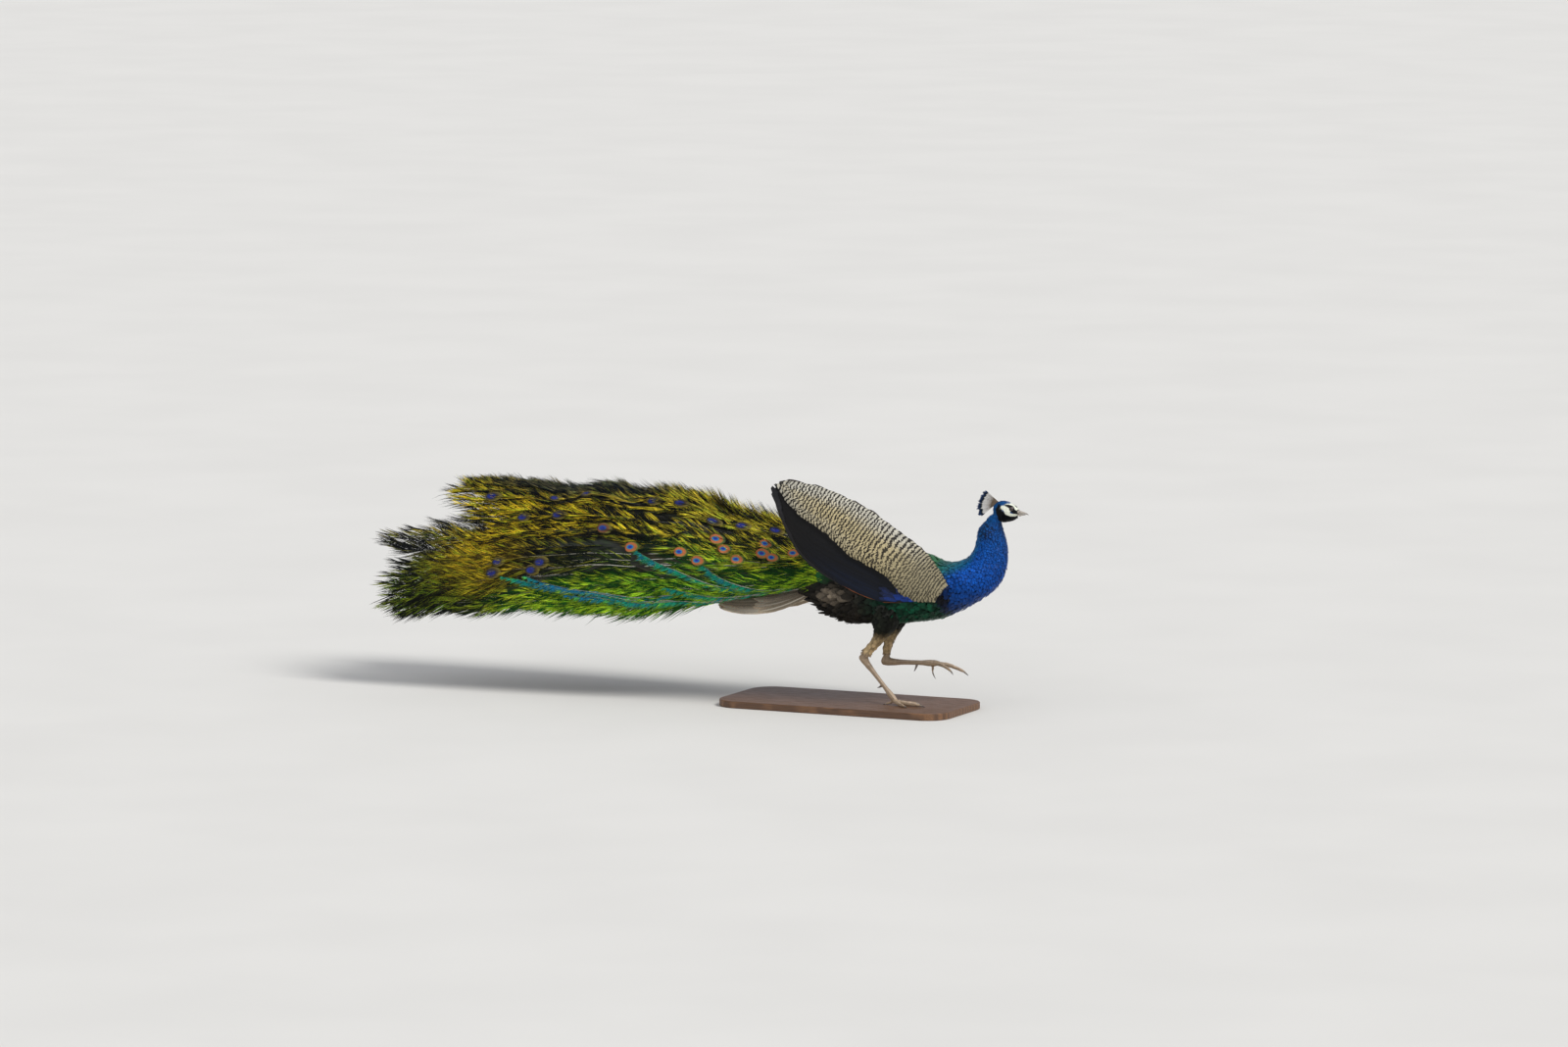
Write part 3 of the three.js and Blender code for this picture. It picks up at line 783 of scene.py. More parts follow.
@dataclass(frozen=True)
class VaneFinish:
    """Feather vanes: barbs running out from the shaft, a rim, and the strands' own colours."""

    name: str
    roughness: float = 0.5
    metallic: float = 0.0
    pitch: float = 0.9 * MM  # between two barbs that show
    slant: float = 1.3  # how far a barb runs forward for each step outward
    grain: float = 0.35  # how dark the lines between barbs are
    rim: float = 0.5  # how dark the rim gets on a fully marked strand
    shaft: Colour = paint(0x8A8474)
    shaft_share: float = 0.0  # half width of the shaft line, of the vane's half width
    specular: float = 0.35

    def material(self) -> Material:
        """The finish as nodes.

        Returns:
            The material.
        """
        recipe = Recipe(self.name)
        across, along = recipe.vane()
        length, width, lot = recipe.parts(recipe.attribute("Make"))
        tint, marking = recipe.tint()
        side = abs(across * 2 - 1)
        barb = ((along * length - side * width * self.slant) / self.pitch + lot * 7).wave()
        patchy = recipe.noise(4 * MM).step(0.35, 0.65)
        edge = side.step(0.55, 1.0) * 0.6 + along.step(0.86, 1.0) * 0.6
        light = (1 - barb * self.grain) * (0.88 + patchy * 0.24) * (1 - edge * marking * self.rim)
        shade = recipe.scaled(tint, light * (0.85 + lot * 0.3))
        if self.shaft_share:
            line = side.step(self.shaft_share * 2, self.shaft_share) * along.step(0.97, 0.8)
            shade = recipe.mix(line, shade, self.shaft)
        return recipe.finish(
            Base_Color=shade,
            Roughness=self.roughness + patchy * 0.1 - barb * 0.08,
            Metallic=self.metallic,
            Specular_IOR_Level=self.specular,
            Normal=recipe.bump(1 - barb, 0.25 * MM, 0.6),
        )


@dataclass(frozen=True)
class BarbFinish:
    """Loose barbs, which carry their colours themselves."""

    name: str
    roughness: float = 0.48
    metallic: float = 0.2

    def material(self) -> Material:
        """The finish as nodes.

        Returns:
            The material.
        """
        recipe = Recipe(self.name)
        _, along = recipe.vane()
        _, _, lot = recipe.parts(recipe.attribute("Make"))
        flecks = recipe.noise(3 * MM, 3.0).step(0.3, 0.7)
        light = (0.7 + flecks * 0.5) * (0.8 + lot * 0.4) * (1 - along.step(0.7, 1.0) * 0.25)
        return recipe.finish(
            Base_Color=recipe.scaled(recipe.attribute("Tint"), light),
            Roughness=self.roughness + flecks * 0.15,
            Metallic=self.metallic,
            Specular_IOR_Level=0.28,
        )


@dataclass(frozen=True)
class SkinFinish:
    """The skin: dark under the coat, pale and pitted on the face, scaly on the feet."""

    name: str = "peacock_skin"
    scale: float = 2.2 * MM

    def material(self) -> Material:
        """The finish as nodes.

        Returns:
            The material.
        """
        recipe = Recipe(self.name)
        tint, bare = recipe.tint()
        mottle = recipe.noise(1.6 * MM, 3.0)
        scales = {"Vector": recipe.place(), "Scale": 1 / self.scale}
        cells = recipe.node("TexVoronoi", {"feature": "DISTANCE_TO_EDGE"}, scales)
        groove = cells.step(0.14, 0.0)
        light = (0.86 + mottle.step(0.3, 0.7) * 0.24) * (1 - groove * bare * 0.3)
        height = mottle * 0.4 + (1 - groove) * bare
        return recipe.finish(
            Base_Color=recipe.scaled(tint, light),
            Roughness=0.62 - bare * 0.1 + mottle * 0.1,
            Normal=recipe.bump(height, 0.3 * MM, 0.7),
        )


# ---- Markings ----


@dataclass(frozen=True)
class Stroke:
    """A mark on the face: how far ahead of the eye and above it, and how wide, in mm, at its bends."""

    bends: tuple[tuple[float, float, float], ...]

    def covers(self, ahead: Array, above: Array) -> Array:
        """How much it covers some places, 0 to 1.

        Args:
            ahead: How far ahead each place is.
            above: How far up each place is.

        Returns:
            One share for each place.
        """
        gaps = np.full(len(ahead), np.inf)
        for (x0, z0, half0), (x1, z1, half1) in pairwise(self.bends):
            run, rise = x1 - x0, z1 - z0
            share = np.clip(((ahead - x0) * run + (above - z0) * rise) / (run**2 + rise**2), 0, 1)
            away = np.hypot(ahead - x0 - share * run, above - z0 - share * rise)
            gaps = np.minimum(gaps, away - half0 - (half1 - half0) * share)
        return ease(0.5, -0.5, gaps)


@dataclass(frozen=True)
class Ring:
    """Colours round the body at one place: along the back, on the flank and underneath."""

    back: int
    flank: int
    under: int


@dataclass
class Markings:
    """Colours of skin and coat by place, the same for both."""

    solids: Solids
    line: BodyLine
    # Rings at the stops of the body line, from the bill to the tail. The blue rings carry painted shade:
    # darker underneath, and darker on the breast's flank beside the wing.
    rings: tuple[Ring, ...] = (
        Ring(0x074A9A, 0x06468F, 0x05305E),
        Ring(0x07528E, 0x064884, 0x053056),
        Ring(0x0660A8, 0x0450A0, 0x044890),
        Ring(0x026C90, 0x0350AC, 0x03489E),
        Ring(0x2A704C, 0x023C84, 0x023678),
        Ring(0x5E7A1C, 0x174A34, 0x0C3A2A),
        Ring(0x2C8A2A, 0x1D5A1E, 0x241F19),
        Ring(0x2C8A2A, 0x2C7222, 0x332B24),
    )
    belly: tuple[int, int, int] = (0x0D4A33, 0x1C1914, 0x74695A)  # behind the breast, rear, vent
    vent: tuple[float, float, float, float] = (0.016, 0.295, 0.034, 0.020)  # X and Z, and how far round
    gap: tuple[float, float, float, float] = (0.296, 0.305, 0.017, 0.040)  # painted shade in the gap between wing and breast
    blue_end: tuple[float, float] = (0.371, -0.28)  # X where the blue ends, and how it slants with Z
    thigh_top: Colour = paint(0x15190F)
    thigh_low: Colour = paint(0xCBB084)
    scaly: Colour = paint(0xAC9478)
    face: Colour = paint(0xEEF0DC)
    black: Colour = paint(0x05080E)
    cheek: Stroke = Stroke(
        ((-23, 3, 5.5), (-13, 0.5, 8), (-9, -8, 8.5), (-2, -14, 5.5), (7, -16, 3.5), (13, -15.5, 2))
    )
    brow: Stroke = Stroke(
        ((-16, 10.5, 1.2), (-6, 10.8, 1.8), (2, 9.6, 2.4), (8, 4.5, 4.2), (14, -1, 4), (20, -5, 3))
    )
    lore: Stroke = Stroke(((-15, 8, 0.7), (-7, 5, 1.8), (0, 0, 3.4), (6, -5, 3.4), (15, -11, 2)))
    mask: Stroke = Stroke(((-16, 8, 3), (-4, 4, 6), (6, -1, 8), (14, -8, 7), (18, -14, 5)))
    throat: Stroke = Stroke(((-31, 7, 4), (-32, -4, 8), (-26, -17, 11), (-12, -25, 8.5), (12, -20.5, 3.8)))

    def __post_init__(self) -> None:
        """Reads the places that the markings are tied to."""
        self.eye = self.solids.middle("eye_right")
        low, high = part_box("thigh_right")
        self.thigh_span = (low.z, high.z)

    def from_eye(self, points: Array) -> tuple[Array, Array]:
        """How far ahead of the eye and above it some points are, in mm."""
        return (points[:, 0] - self.eye[0]) / MM, (points[:, 2] - self.eye[2]) / MM

    def bare_face(self, points: Array) -> Array:
        """How bare the face is, 0 to 1: a line over the eye and a patch below and behind it.

        Args:
            points: One row for each place.

        Returns:
            One share for each place.
        """
        ahead, above = self.from_eye(points)
        naked = np.maximum(self.brow.covers(ahead, above), self.cheek.covers(ahead, above))
        return naked * (1 - self.lore.covers(ahead, above))

    def black_face(self, points: Array) -> Array:
        """How black head and throat are round the bare parts, 0 to 1.

        Args:
            points: One row for each place.

        Returns:
            One share for each place.
        """
        ahead, above = self.from_eye(points)
        marks = [mark.covers(ahead, above) for mark in (self.lore, self.mask, self.throat)]
        return np.max(marks, axis=0)

    @staticmethod
    def _spot(points: Array, spot: Sequence[float]) -> Array:
        """How much of a soft spot lies on some points, 0 to 1."""
        x, z, wide, high = spot
        return np.exp(-(((points[:, 0] - x) / wide) ** 2 + ((points[:, 2] - z) / high) ** 2) ** 1.5)

    def on_belly(self, points: Array, rise: Array) -> Array:
        """How much some places are behind the blue breast and below the wing, 0 to 1.

        Args:
            points: One row for each place.
            rise: How far each place faces up.

        Returns:
            One share for each place.
        """
        limit = self.blue_end[0] + self.blue_end[1] * points[:, 2]
        edge = 0.5 - 0.4 * ease(0.08, -0.04, points[:, 0])
        return ease(limit + 0.010, limit - 0.012, points[:, 0]) * ease(edge, edge - 0.3, rise)

    def colours(self, points: Array, owners: Sequence[str]) -> Array:
        """Colour and bareness of the skin at some points.

        Args:
            points: One row each.
            owners: The node that each lies on.

        Returns:
            Red, green, blue and how bare it is, one row each.
        """
        stops, rise, _ = self.line.locate(points)
        place = np.clip(stops / (len(self.rings) - 1), 0, 1)
        back, flank, under = (
            rows_at([paint(getattr(ring, part)) for ring in self.rings], place)
            for part in ("back", "flank", "under")
        )
        shade = blend(flank, back, ease(0.15, 0.75, rise))
        shade = blend(shade, under, ease(-0.3, -0.85, rise))
        # Painted shade of ruffled feather clumps: dark waves on the upper neck.
        ruff_shade = ease(2.15, 1.95, stops) * ease(1.4, 1.65, stops) * ease(0.9, 0.5, np.abs(rise - 0.2))
        ruff_shade *= 0.6 + 0.4 * np.sin((points[:, 2] * 1.9 + points[:, 0]) / (3.4 * MM))
        shade = blend(shade, paint(0x03101F), ruff_shade * 0.9)
        front, rear, vent = (paint(code) for code in self.belly)
        dark = blend(front, rear, ease(0.17, 0.07, points[:, 0]))
        dark = blend(dark, vent, self._spot(points, self.vent))
        shade = blend(shade, dark, self.on_belly(points, rise))
        # Painted shade: a near-black spot in the gap between wing and breast.
        shade = blend(shade, paint(0x0D0D14), self._spot(points, self.gap))

        kinds = np.array([owner.split("_")[0] for owner in owners])
        thigh = kinds == "thigh"
        height = (points[:, 2] - self.thigh_span[0]) / (self.thigh_span[1] - self.thigh_span[0])
        shade[thigh] = blend(self.thigh_low, self.thigh_top, ease(0.30, 0.55, height))[thigh]
        foot = (kinds == "shank") | (kinds == "toe")
        joint = ease(0.026, 0.018, self.solids.from_hocks(points)) * thigh
        bare = np.maximum(joint, foot)
        shade = blend(shade, self.scaly, bare)
        head = kinds == "head"
        upper = head | ((kinds == "neck") & (stops < 2.2))
        shade[upper] = blend(shade, self.black, self.black_face(points))[upper]
        naked = self.bare_face(points)
        shade[head] = blend(shade, self.face, naked)[head]
        bare[head] = naked[head]
        return np.concatenate([shade, bare[:, None]], 1)


# ---- Skin ----


def remeshed(shape: BMesh, cell: float) -> BMesh:
    """A shape as one closed skin of even faces.

    Args:
        shape: The shape, which is freed.
        cell: Size of a face.

    Returns:
        The skin as a bmesh, which the caller frees.
    """
    carrier = in_scene("rough", mesh_of("rough", shape))
    remesh = carrier.modifiers.new("even", "REMESH")
    remesh.mode = "VOXEL"
    remesh.voxel_size = cell
    evaluated = carrier.evaluated_get(bpy.context.evaluated_depsgraph_get())
    mesh = bpy.data.meshes.new_from_object(evaluated)
    even = bmesh.new()
    even.from_mesh(mesh)
    rough = carrier.data
    bpy.data.objects.remove(carrier)
    for spent in (rough, mesh):
        bpy.data.meshes.remove(spent)
    return even


def places_of(shape: BMesh) -> Array:
    """Where a bmesh's vertices are, one row each."""
    return np.array([vertex.co for vertex in shape.verts])


def smoothed(shape: BMesh, factor: float, passes: int) -> None:
    """Smooths a shape's vertices.

    Args:
        shape: Changed in place.
        factor: How far each vertex moves.
        passes: How often.
    """
    axes = {f"use_axis_{axis}": True for axis in "xyz"}
    for _ in range(passes):
        bmesh.ops.smooth_vert(shape, verts=shape.verts, factor=factor, **axes)


@dataclass
class Skin:
    """One skin for all flesh, inside the solids by the depth of the coat."""

    solids: Solids
    markings: Markings
    cell: float = 3.2 * MM
    growth: float = 0.4 * MM  # closes the thin partings between the solids
    face: float = 26 * MM  # how far round the eyes the skin has the finest mesh
    hock: float = 7.5 * MM  # how far the bare hock stands out
    hock_reach: float = 13 * MM
    depth_passes: int = 8  # that smooth the change from one depth to the next
    depths: dict[str, float] = field(
        default_factory=lambda: {
            "head": 1.0 * MM,
            "neck": 2.6 * MM,
            "breast": 4.5 * MM,
            "trunk": 5.5 * MM,
            "rump": 6.0 * MM,
            "thigh": 3.5 * MM,
            "upper": 3.0 * MM,
            "shank": 0.2 * MM,
            "toe": 0.2 * MM,
        }
    )

    def build(self) -> None:
        """Makes the skin, with the bake map and its colours."""
        self.names = self.solids.starting(*self.depths)
        self.surface = LabelledSurface(self.solids, self.names)
        shape = remeshed(self.solids.merged(self.names, self.growth), self.cell)
        owners = self._settle(shape)
        self.mesh = mesh_of("skin", shape)
        made = show(self.mesh, SkinFinish().material(), self.names)
        self._unwrap(made)
        points = rows_of(self.mesh.vertices, "co", 3)
        set_tint(self.mesh, self.markings.colours(points, [self.names[number] for number in owners]))

    def _settle(self, shape: BMesh) -> Array:
        """Subdivides head and feet, and sets every vertex in from the solids by the coat's depth.

        Args:
            shape: The remeshed flesh.

        Returns:
            The number of the node that each vertex lies on.
        """
        owner = self.surface.owner(places_of(shape))
        fine = [name.startswith(("head", "shank", "toe")) for name in self.names]
        self._subdivide(shape, {v for v in shape.verts if fine[owner[v.index]]})
        eyes = [Vector(self.solids.middle(f"eye_{side.word}")) for side in Side]
        near = {v for v in shape.verts if min((v.co - eye).length for eye in eyes) < self.face}
        self._subdivide(shape, near)
        smoothed(shape, 0.5, 2)
        for vertex in shape.verts:
            vertex.co = self.surface.tree.find_nearest(vertex.co)[0]
        smoothed(shape, 0.4, 2)
        shape.normal_update()
        shape.verts.index_update()
        owner = self.surface.owner(places_of(shape))
        depth = np.array([self.depths[name.split("_")[0]] for name in self.names])[owner]
        ends = np.array([[v.index for v in edge.verts] for edge in shape.edges])
        joined = np.bincount(ends.ravel(), minlength=len(depth))
        for _ in range(self.depth_passes):
            total = np.bincount(ends[:, 0], depth[ends[:, 1]], len(depth))
            total += np.bincount(ends[:, 1], depth[ends[:, 0]], len(depth))
            depth = 0.5 * depth + 0.5 * total / joined
        from_hocks = self.solids.from_hocks(places_of(shape))
        depth -= self.hock * np.exp(-((from_hocks / self.hock_reach) ** 2))
        for vertex in shape.verts:
            vertex.co += vertex.normal * -depth[vertex.index]
        return owner

    @staticmethod
    def _subdivide(shape: BMesh, inside: set[bmesh.types.BMVert]) -> None:
        """Halves the edges between some vertices.

        Args:
            shape: Changed in place.
            inside: The vertices.
        """
        edges = [edge for edge in shape.edges if inside.issuperset(edge.verts)]
        bmesh.ops.subdivide_edges(shape, edges=edges, cuts=1, use_grid_fill=True)
        bmesh.ops.triangulate(shape, faces=[face for face in shape.faces if len(face.verts) > 4])

    @staticmethod
    def _unwrap(made: Object) -> None:
        """Lays the skin out flat on its bake map.

        Args:
            made: The skin.
        """
        made.data.uv_layers.new(name=BAKE_MAP)
        bpy.context.view_layer.objects.active = made
        bpy.ops.object.mode_set(mode="EDIT")
        bpy.ops.mesh.select_all(action="SELECT")
        bpy.ops.uv.smart_project(angle_limit=math.radians(66), island_margin=0.002)
        bpy.ops.object.mode_set(mode="OBJECT")


# ---- The coat on the body ----


@dataclass
class Roots(Rows):
    """Where tufts grow: their places, normals, places on the bake map and owning nodes."""

    points: Array
    normals: Array
    maps: Array
    owners: Array


class Scatter:
    """Spreads roots over the skin."""

    def __init__(self, skin: Skin, rng: np.random.Generator) -> None:
        """Reads the skin's triangles.

        Args:
            skin: The skin, already built.
            rng: Source of the places.
        """
        self.skin, self.rng = skin, rng
        mesh = skin.mesh
        mesh.calc_loop_triangles()
        corners, loops = (rows_of(mesh.loop_triangles, name, 3, int) for name in ("vertices", "loops"))
        self.points = rows_of(mesh.vertices, "co", 3)[corners]
        self.normals = rows_of(mesh.vertex_normals, "vector", 3)[corners]
        self.maps = rows_of(mesh.uv_layers[BAKE_MAP].uv, "vector", 2)[loops]
        edges = self.points[:, 1:] - self.points[:, :1]
        self.areas = np.linalg.norm(np.cross(edges[:, 0], edges[:, 1]), axis=1) / 2

    def spread(self, gap: Callable[[Array], Array]) -> Roots:
        """Roots as far apart as a coat needs.

        Args:
            gap: The distance between roots at some points.

        Returns:
            The roots.
        """
        middles = self.points.mean(1)
        wanted = self.areas / gap(middles) ** 2
        picks = self.rng.choice(len(middles), int(wanted.sum() * 2.2), p=wanted / wanted.sum())
        first, second = self.rng.random((2, len(picks)))
        flip = first + second > 1
        first, second = np.where(flip, 1 - first, first), np.where(flip, 1 - second, second)
        weights = np.stack([1 - first - second, first, second], 1)[..., None]
        points, normals, maps = (
            (part[picks] * weights).sum(1) for part in (self.points, self.normals, self.maps)
        )
        keep = self._thinned(points, gap(points) * 0.86)
        owners = self.skin.surface.owner(points[keep])
        return Roots(points[keep], unit(normals[keep]), maps[keep], owners)

    @staticmethod
    def _thinned(points: Array, gaps: Array) -> Array:
        """Which points stay if none may lie nearer to an earlier one than its gap.

        Args:
            points: One row each, the first ones to keep first.
            gaps: One for each point.

        Returns:
            The rows that stay.
        """
        tree = KDTree(len(points))
        for number, point in enumerate(points):
            tree.insert(point, number)
        tree.balance()
        alive = np.ones(len(points), bool)
        for number, point in enumerate(points):
            if alive[number]:
                for _, other, _ in tree.find_range(point, gaps[number]):
                    if other > number:
                        alive[other] = False
        return alive


@dataclass
class Coat:
    """The small feathers of head, neck, body and thighs."""

    skin: Skin
    line: BodyLine
    markings: Markings
    rng: np.random.Generator
    # Length, half width and how far the tips stand off, in mm, at the stops of the body line.
    sizes: tuple[tuple[float, float, float], ...] = (
        (3.0, 1.0, 0.8),
        (4.4, 1.4, 1.0),
        (9.5, 2.7, 2.4),
        (12.5, 3.6, 2.8),
        (17.0, 5.4, 4.4),
        (23.0, 7.4, 5.4),
        (27.0, 8.0, 6.4),
        (32.0, 8.0, 8.0),
    )
    thigh_size: tuple[float, float, float] = (10.0, 2.6, 1.3)
    outline: tuple[tuple[float, float], ...] = (
        (0.0, 0.3),
        (0.28, 0.85),
        (0.55, 1.0),
        (0.8, 0.9),
        (0.95, 0.5),
        (1.0, 0.0),
    )  # of a feather: share of its length, share of its half width
    bare_hock: float = 17 * MM  # how far round the hock there are no feathers
    crowding: float = 0.52  # gap between roots, of the root of length times width

    def sizes_at(self, points: Array, low: Array | None = None) -> Array:
        """Length, half width and rise of the feathers at some points, in metres.

        Args:
            points: One row each.
            low: How low on the body each one is, if it is known.

        Returns:
            One row of three for each point.
        """
        stops, _, _ = self.line.locate(points)
        size = rows_at(self.sizes, np.clip(stops / (len(self.sizes) - 1), 0, 1)) * MM
        floor = self.markings.thigh_span
        legs = ease(floor[0] + 0.4 * (floor[1] - floor[0]), floor[0], points[:, 2])
        legs = legs if low is None else np.maximum(legs, low)
        return blend(size, np.array(self.thigh_size) * MM, legs)

    def build(self) -> None:
        """Plants the whole coat, in pieces by part of the body."""
        solids = self.skin.solids

        def gap(points: Array) -> Array:
            """The distance between roots at some points.

            Args:
                points: One row each.

            Returns:
                One distance for each point.
            """
            size = self.sizes_at(points)
            dense = 1 - 0.4 * ease(0.17, 0.12, solids.from_hocks(points))
            return np.sqrt(size[:, 0] * size[:, 1] * 2) * self.crowding * dense

        roots = Scatter(self.skin, self.rng).spread(gap)
        kinds = np.array([self.skin.names[number].split("_")[0] for number in roots.owners])
        bare = (kinds == "head") & (self.markings.bare_face(roots.points) > 0.4)
        covered = ~bare & (solids.from_hocks(roots.points) > self.bare_hock)
        shape = StrandShape(len(self.outline), 4)
        blue = VaneFinish("blue_feathers", 0.44, 0.45, rim=0.7, specular=0.25).material()
        dark = VaneFinish("body_feathers", 0.55, 0.15, rim=0.75, specular=0.2).material()
        parts = {
            "head": (["head"], blue, "blue_plumage"),
            "neck": (["neck"], blue, "blue_plumage"),
            "breast": (["breast"], blue, "blue_plumage"),
            "trunk": (["trunk", "upper"], dark, "body_plumage"),
            "rump": (["rump"], dark, "body_plumage"),
            "thighs": (["thigh"], dark, "body_plumage"),
        }
        for name, (owners, material, slot) in parts.items():
            feathers = self._feathers(roots.chosen(covered & np.isin(kinds, owners)))
            Piece(f"coat_{name}", shape).build([feathers], material, slot)

    def _lie(self, roots: Roots) -> Array:
        """Direction in which the feathers lie at each root.

        Args:
            roots: Where the feathers grow.

        Returns:
            One direction for each root.
        """
        _, _, lie = self.line.locate(roots.points)
        solids = self.skin.solids
        for side in Side:
            name = f"thigh_{side.word}"
            down = unit(solids.end(name, (0, 0, -1)) - solids.end(name, (0, 0, 1)))
            mine = roots.owners == self.skin.names.index(name)
            lie = np.where(mine[:, None], unit(down + (-0.25, 0, 0)), lie)
        turn = self.rng.normal(0, 0.13, (len(lie), 1))
        flat = unit(lie - roots.normals * dot(lie, roots.normals))
        return unit(flat + np.cross(roots.normals, flat) * turn)

    def _feathers(self, roots: Roots) -> Strands:
        """One feather at each root.

        Args:
            roots: Where the feathers grow.

        Returns:
            The feathers.
        """
        count = len(roots.points)
        share, half = np.array(self.outline).T
        names = [self.skin.names[number] for number in roots.owners]
        thighs = np.array([name.startswith("thigh") for name in names], float)
        size = self.sizes_at(roots.points, thighs * 0.5) * self.rng.uniform(0.85, 1.18, (count, 1))
        from_hocks = self.skin.solids.from_hocks(roots.points)
        size[:, 0] *= 0.6 + 0.4 * ease(self.bare_hock, self.bare_hock * 2.2, from_hocks)
        lie = self._lie(roots)
        stops, rise, _ = self.line.locate(roots.points)
        loose = ease(0.10, 0.03, roots.points[:, 0]) * ease(0.1, -0.5, rise)
        lift = share * (1.7 - 0.7 * share)
        along = (size[:, :1] * (1 + 0.5 * loose[:, None])) * share
        loft = 0.15 + 1.3 * thighs[:, None] * ease(0.0, 0.35, share)
        off = size[:, 2:] * lift * self.rng.uniform(0.55, 1.1, (count, 1)) + loft * MM
        hung = loose * ease(-0.11, -0.06, roots.points[:, 0]) * self.rng.uniform(8, 18, count) * MM
        under_chin = self.markings.throat.covers(*self.markings.from_eye(roots.points))
        under_chin = under_chin * ease(-0.1, -0.6, rise)
        off = off + (hung[:, None] + under_chin[:, None] * 4.5 * MM) * share
        sway = self.rng.normal(0, 0.05, (count, 1)) * size[:, :1] * share**2
        beside = np.cross(roots.normals, lie)
        spine = (
            roots.points[:, None]
            + lie[:, None] * along[..., None]
            + roots.normals[:, None] * off[..., None]
            + beside[:, None] * sway[..., None]
        )
        tint = self.markings.colours(roots.points, names)
        tint[:, :3] *= self._shades(roots.points, rise)
        tint[:, 3] = 0.35 + 0.65 * ease(3.9, 4.6, stops) * ease(0.2, 0.6, rise)
        tints = np.repeat(tint[:, None], len(share), 1)
        deep = 0.45 + 0.3 * thighs[:, None]  # shade at the root
        tints[..., :3] *= (deep + (1.1 - deep) * ease(0.0, 0.7, share))[..., None]
        return Strands(
            spine=spine,
            normal=np.repeat(roots.normals[:, None], len(share), 1),
            width=size[:, 1:2] * half,
            depth=np.maximum(size[:, 1:2] * half * 0.05, 0.1 * MM),
            tint=tints,
            root=roots.maps,
            lot=self.rng.random(count),
        )

    def _shades(self, points: Array, rise: Array) -> Array:
        """How light each feather is, uneven as it catches the light, most of all on the belly.

        Args:
            points: One row for each feather.
            rise: How far each one faces up.

        Returns:
            One shade for each feather.
        """
        low, high = self.markings.thigh_span
        body = ease(low + 0.35 * (high - low), low + 0.6 * (high - low), points[:, 2])
        spread = 0.15 + 0.35 * self.markings.on_belly(points, rise) * body
        return np.exp(np.clip(self.rng.normal(0, 1, len(points)), -1.5, 1.3) * spread)[:, None]


# ---- Wings ----


class Layer(Enum):
    """The feather layers of a folded wing, from the outside in."""

    COVERTS = "coverts"
    SECONDARIES = "secondaries"
    PRIMARIES = "primaries"


class Blade:
    """One face of a folded wing, as heights over the wing's own plane."""

    STEP = 4 * MM
    MARGIN = 24 * MM
    CLEAR = 0.12

    def __init__(self, solids: Solids, side: Side, outer: bool = True) -> None:
        """Reads the wing's plane, the face's heights and each layer's outline.

        Args:
            solids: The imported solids.
            side: Which wing.
            outer: Whether it is the face turned away from the body.
        """
        names = {layer: f"wing_{layer.value}_{side.word}" for layer in Layer}
        shield = solids.points(names[Layer.COVERTS])
        self.origin = shield.mean(0)
        along, across, outward = np.linalg.svd(shield - self.origin, full_matrices=False)[2]
        self.along = along * -np.sign(along[0])
        self.across = across * np.sign(across[2])
        self.face = outward * np.sign(outward[1]) * side.value * (1 if outer else -1)
        whole = solids.points(*names.values()) - self.origin
        reach, height = whole @ self.along, whole @ self.across
        self.reaches = np.arange(reach.min() - self.MARGIN, reach.max() + self.MARGIN, self.STEP)
        self.heights = np.arange(height.min() - self.MARGIN, height.max() + self.MARGIN, self.STEP)
        self.relief = filled(self._cast(solids.surface(*names.values())), 4)
        self.rise = np.stack(np.gradient(self.relief, self.STEP), -1)
        self.low: dict[Layer, Array] = {}
        self.high: dict[Layer, Array] = {}
        self.span: dict[Layer, tuple[float, float]] = {}
        for layer, name in names.items():
            self._measure(layer, self._cast(solids.surface(name)))

    def _cast(self, tree: BVHTree) -> Array:
        """Heights of a surface over the plane, nan where there is none.

        Args:
            tree: The surface.

        Returns:
            A grid of heights.
        """
        found = np.full((len(self.reaches), len(self.heights)), np.nan)
        back = Vector(-self.face)
        for i, reach in enumerate(self.reaches):
            for j, height in enumerate(self.heights):
                start = self.origin + self.along * reach + self.across * height + self.face * self.CLEAR
                distance = tree.ray_cast(Vector(start), back, 2 * self.CLEAR)[3]
                if distance is not None:
                    found[i, j] = self.CLEAR - distance
        return found

    def _measure(self, layer: Layer, found: Array) -> None:
        """Keeps a layer's lower and upper outline and its span.

        Args:
            layer: One of the wing's layers.
            found: Where rays meet it.
        """
        hit = ~np.isnan(found)
        rows = np.flatnonzero(hit.any(1))
        low = np.array([self.heights[hit[row]].min() for row in rows])
        high = np.array([self.heights[hit[row]].max() for row in rows])
        self.low[layer] = np.interp(self.reaches, self.reaches[rows], low)
        self.high[layer] = np.interp(self.reaches, self.reaches[rows], high)
        self.span[layer] = (self.reaches[rows[0]], self.reaches[rows[-1]])

    def height(self, layer: Layer, reach: Array, share: Array) -> Array:
        """Height on the blade from a share of a layer's width, 0 at its lower outline.

        Args:
            layer: One of the wing's layers.
            reach: Places along the wing.
            share: 0 to 1.

        Returns:
            One height for each place.
        """
        low = np.interp(reach, self.reaches, self.low[layer])
        high = np.interp(reach, self.reaches, self.high[layer])
        return low + (high - low) * share

    def place(self, reach: Array, height: Array, off: Array) -> tuple[Array, Array]:
        """Points off the face and the face's normals there.

        Args:
            reach: How far along the wing.
            height: How far across it.
            off: How far off the face.

        Returns:
            The points and the normals.
        """
        row = (reach - self.reaches[0]) / self.STEP
        column = (height - self.heights[0]) / self.STEP
        relief = read_grid(self.relief, row, column)
        rise = read_grid(self.rise, row, column)
        normal = unit(self.face - self.along * rise[..., :1] - self.across * rise[..., 1:])
        flat = self.origin + self.along * reach[..., None] + self.across * height[..., None]
        return flat + self.face * relief[..., None] + normal * np.asarray(off)[..., None], normal


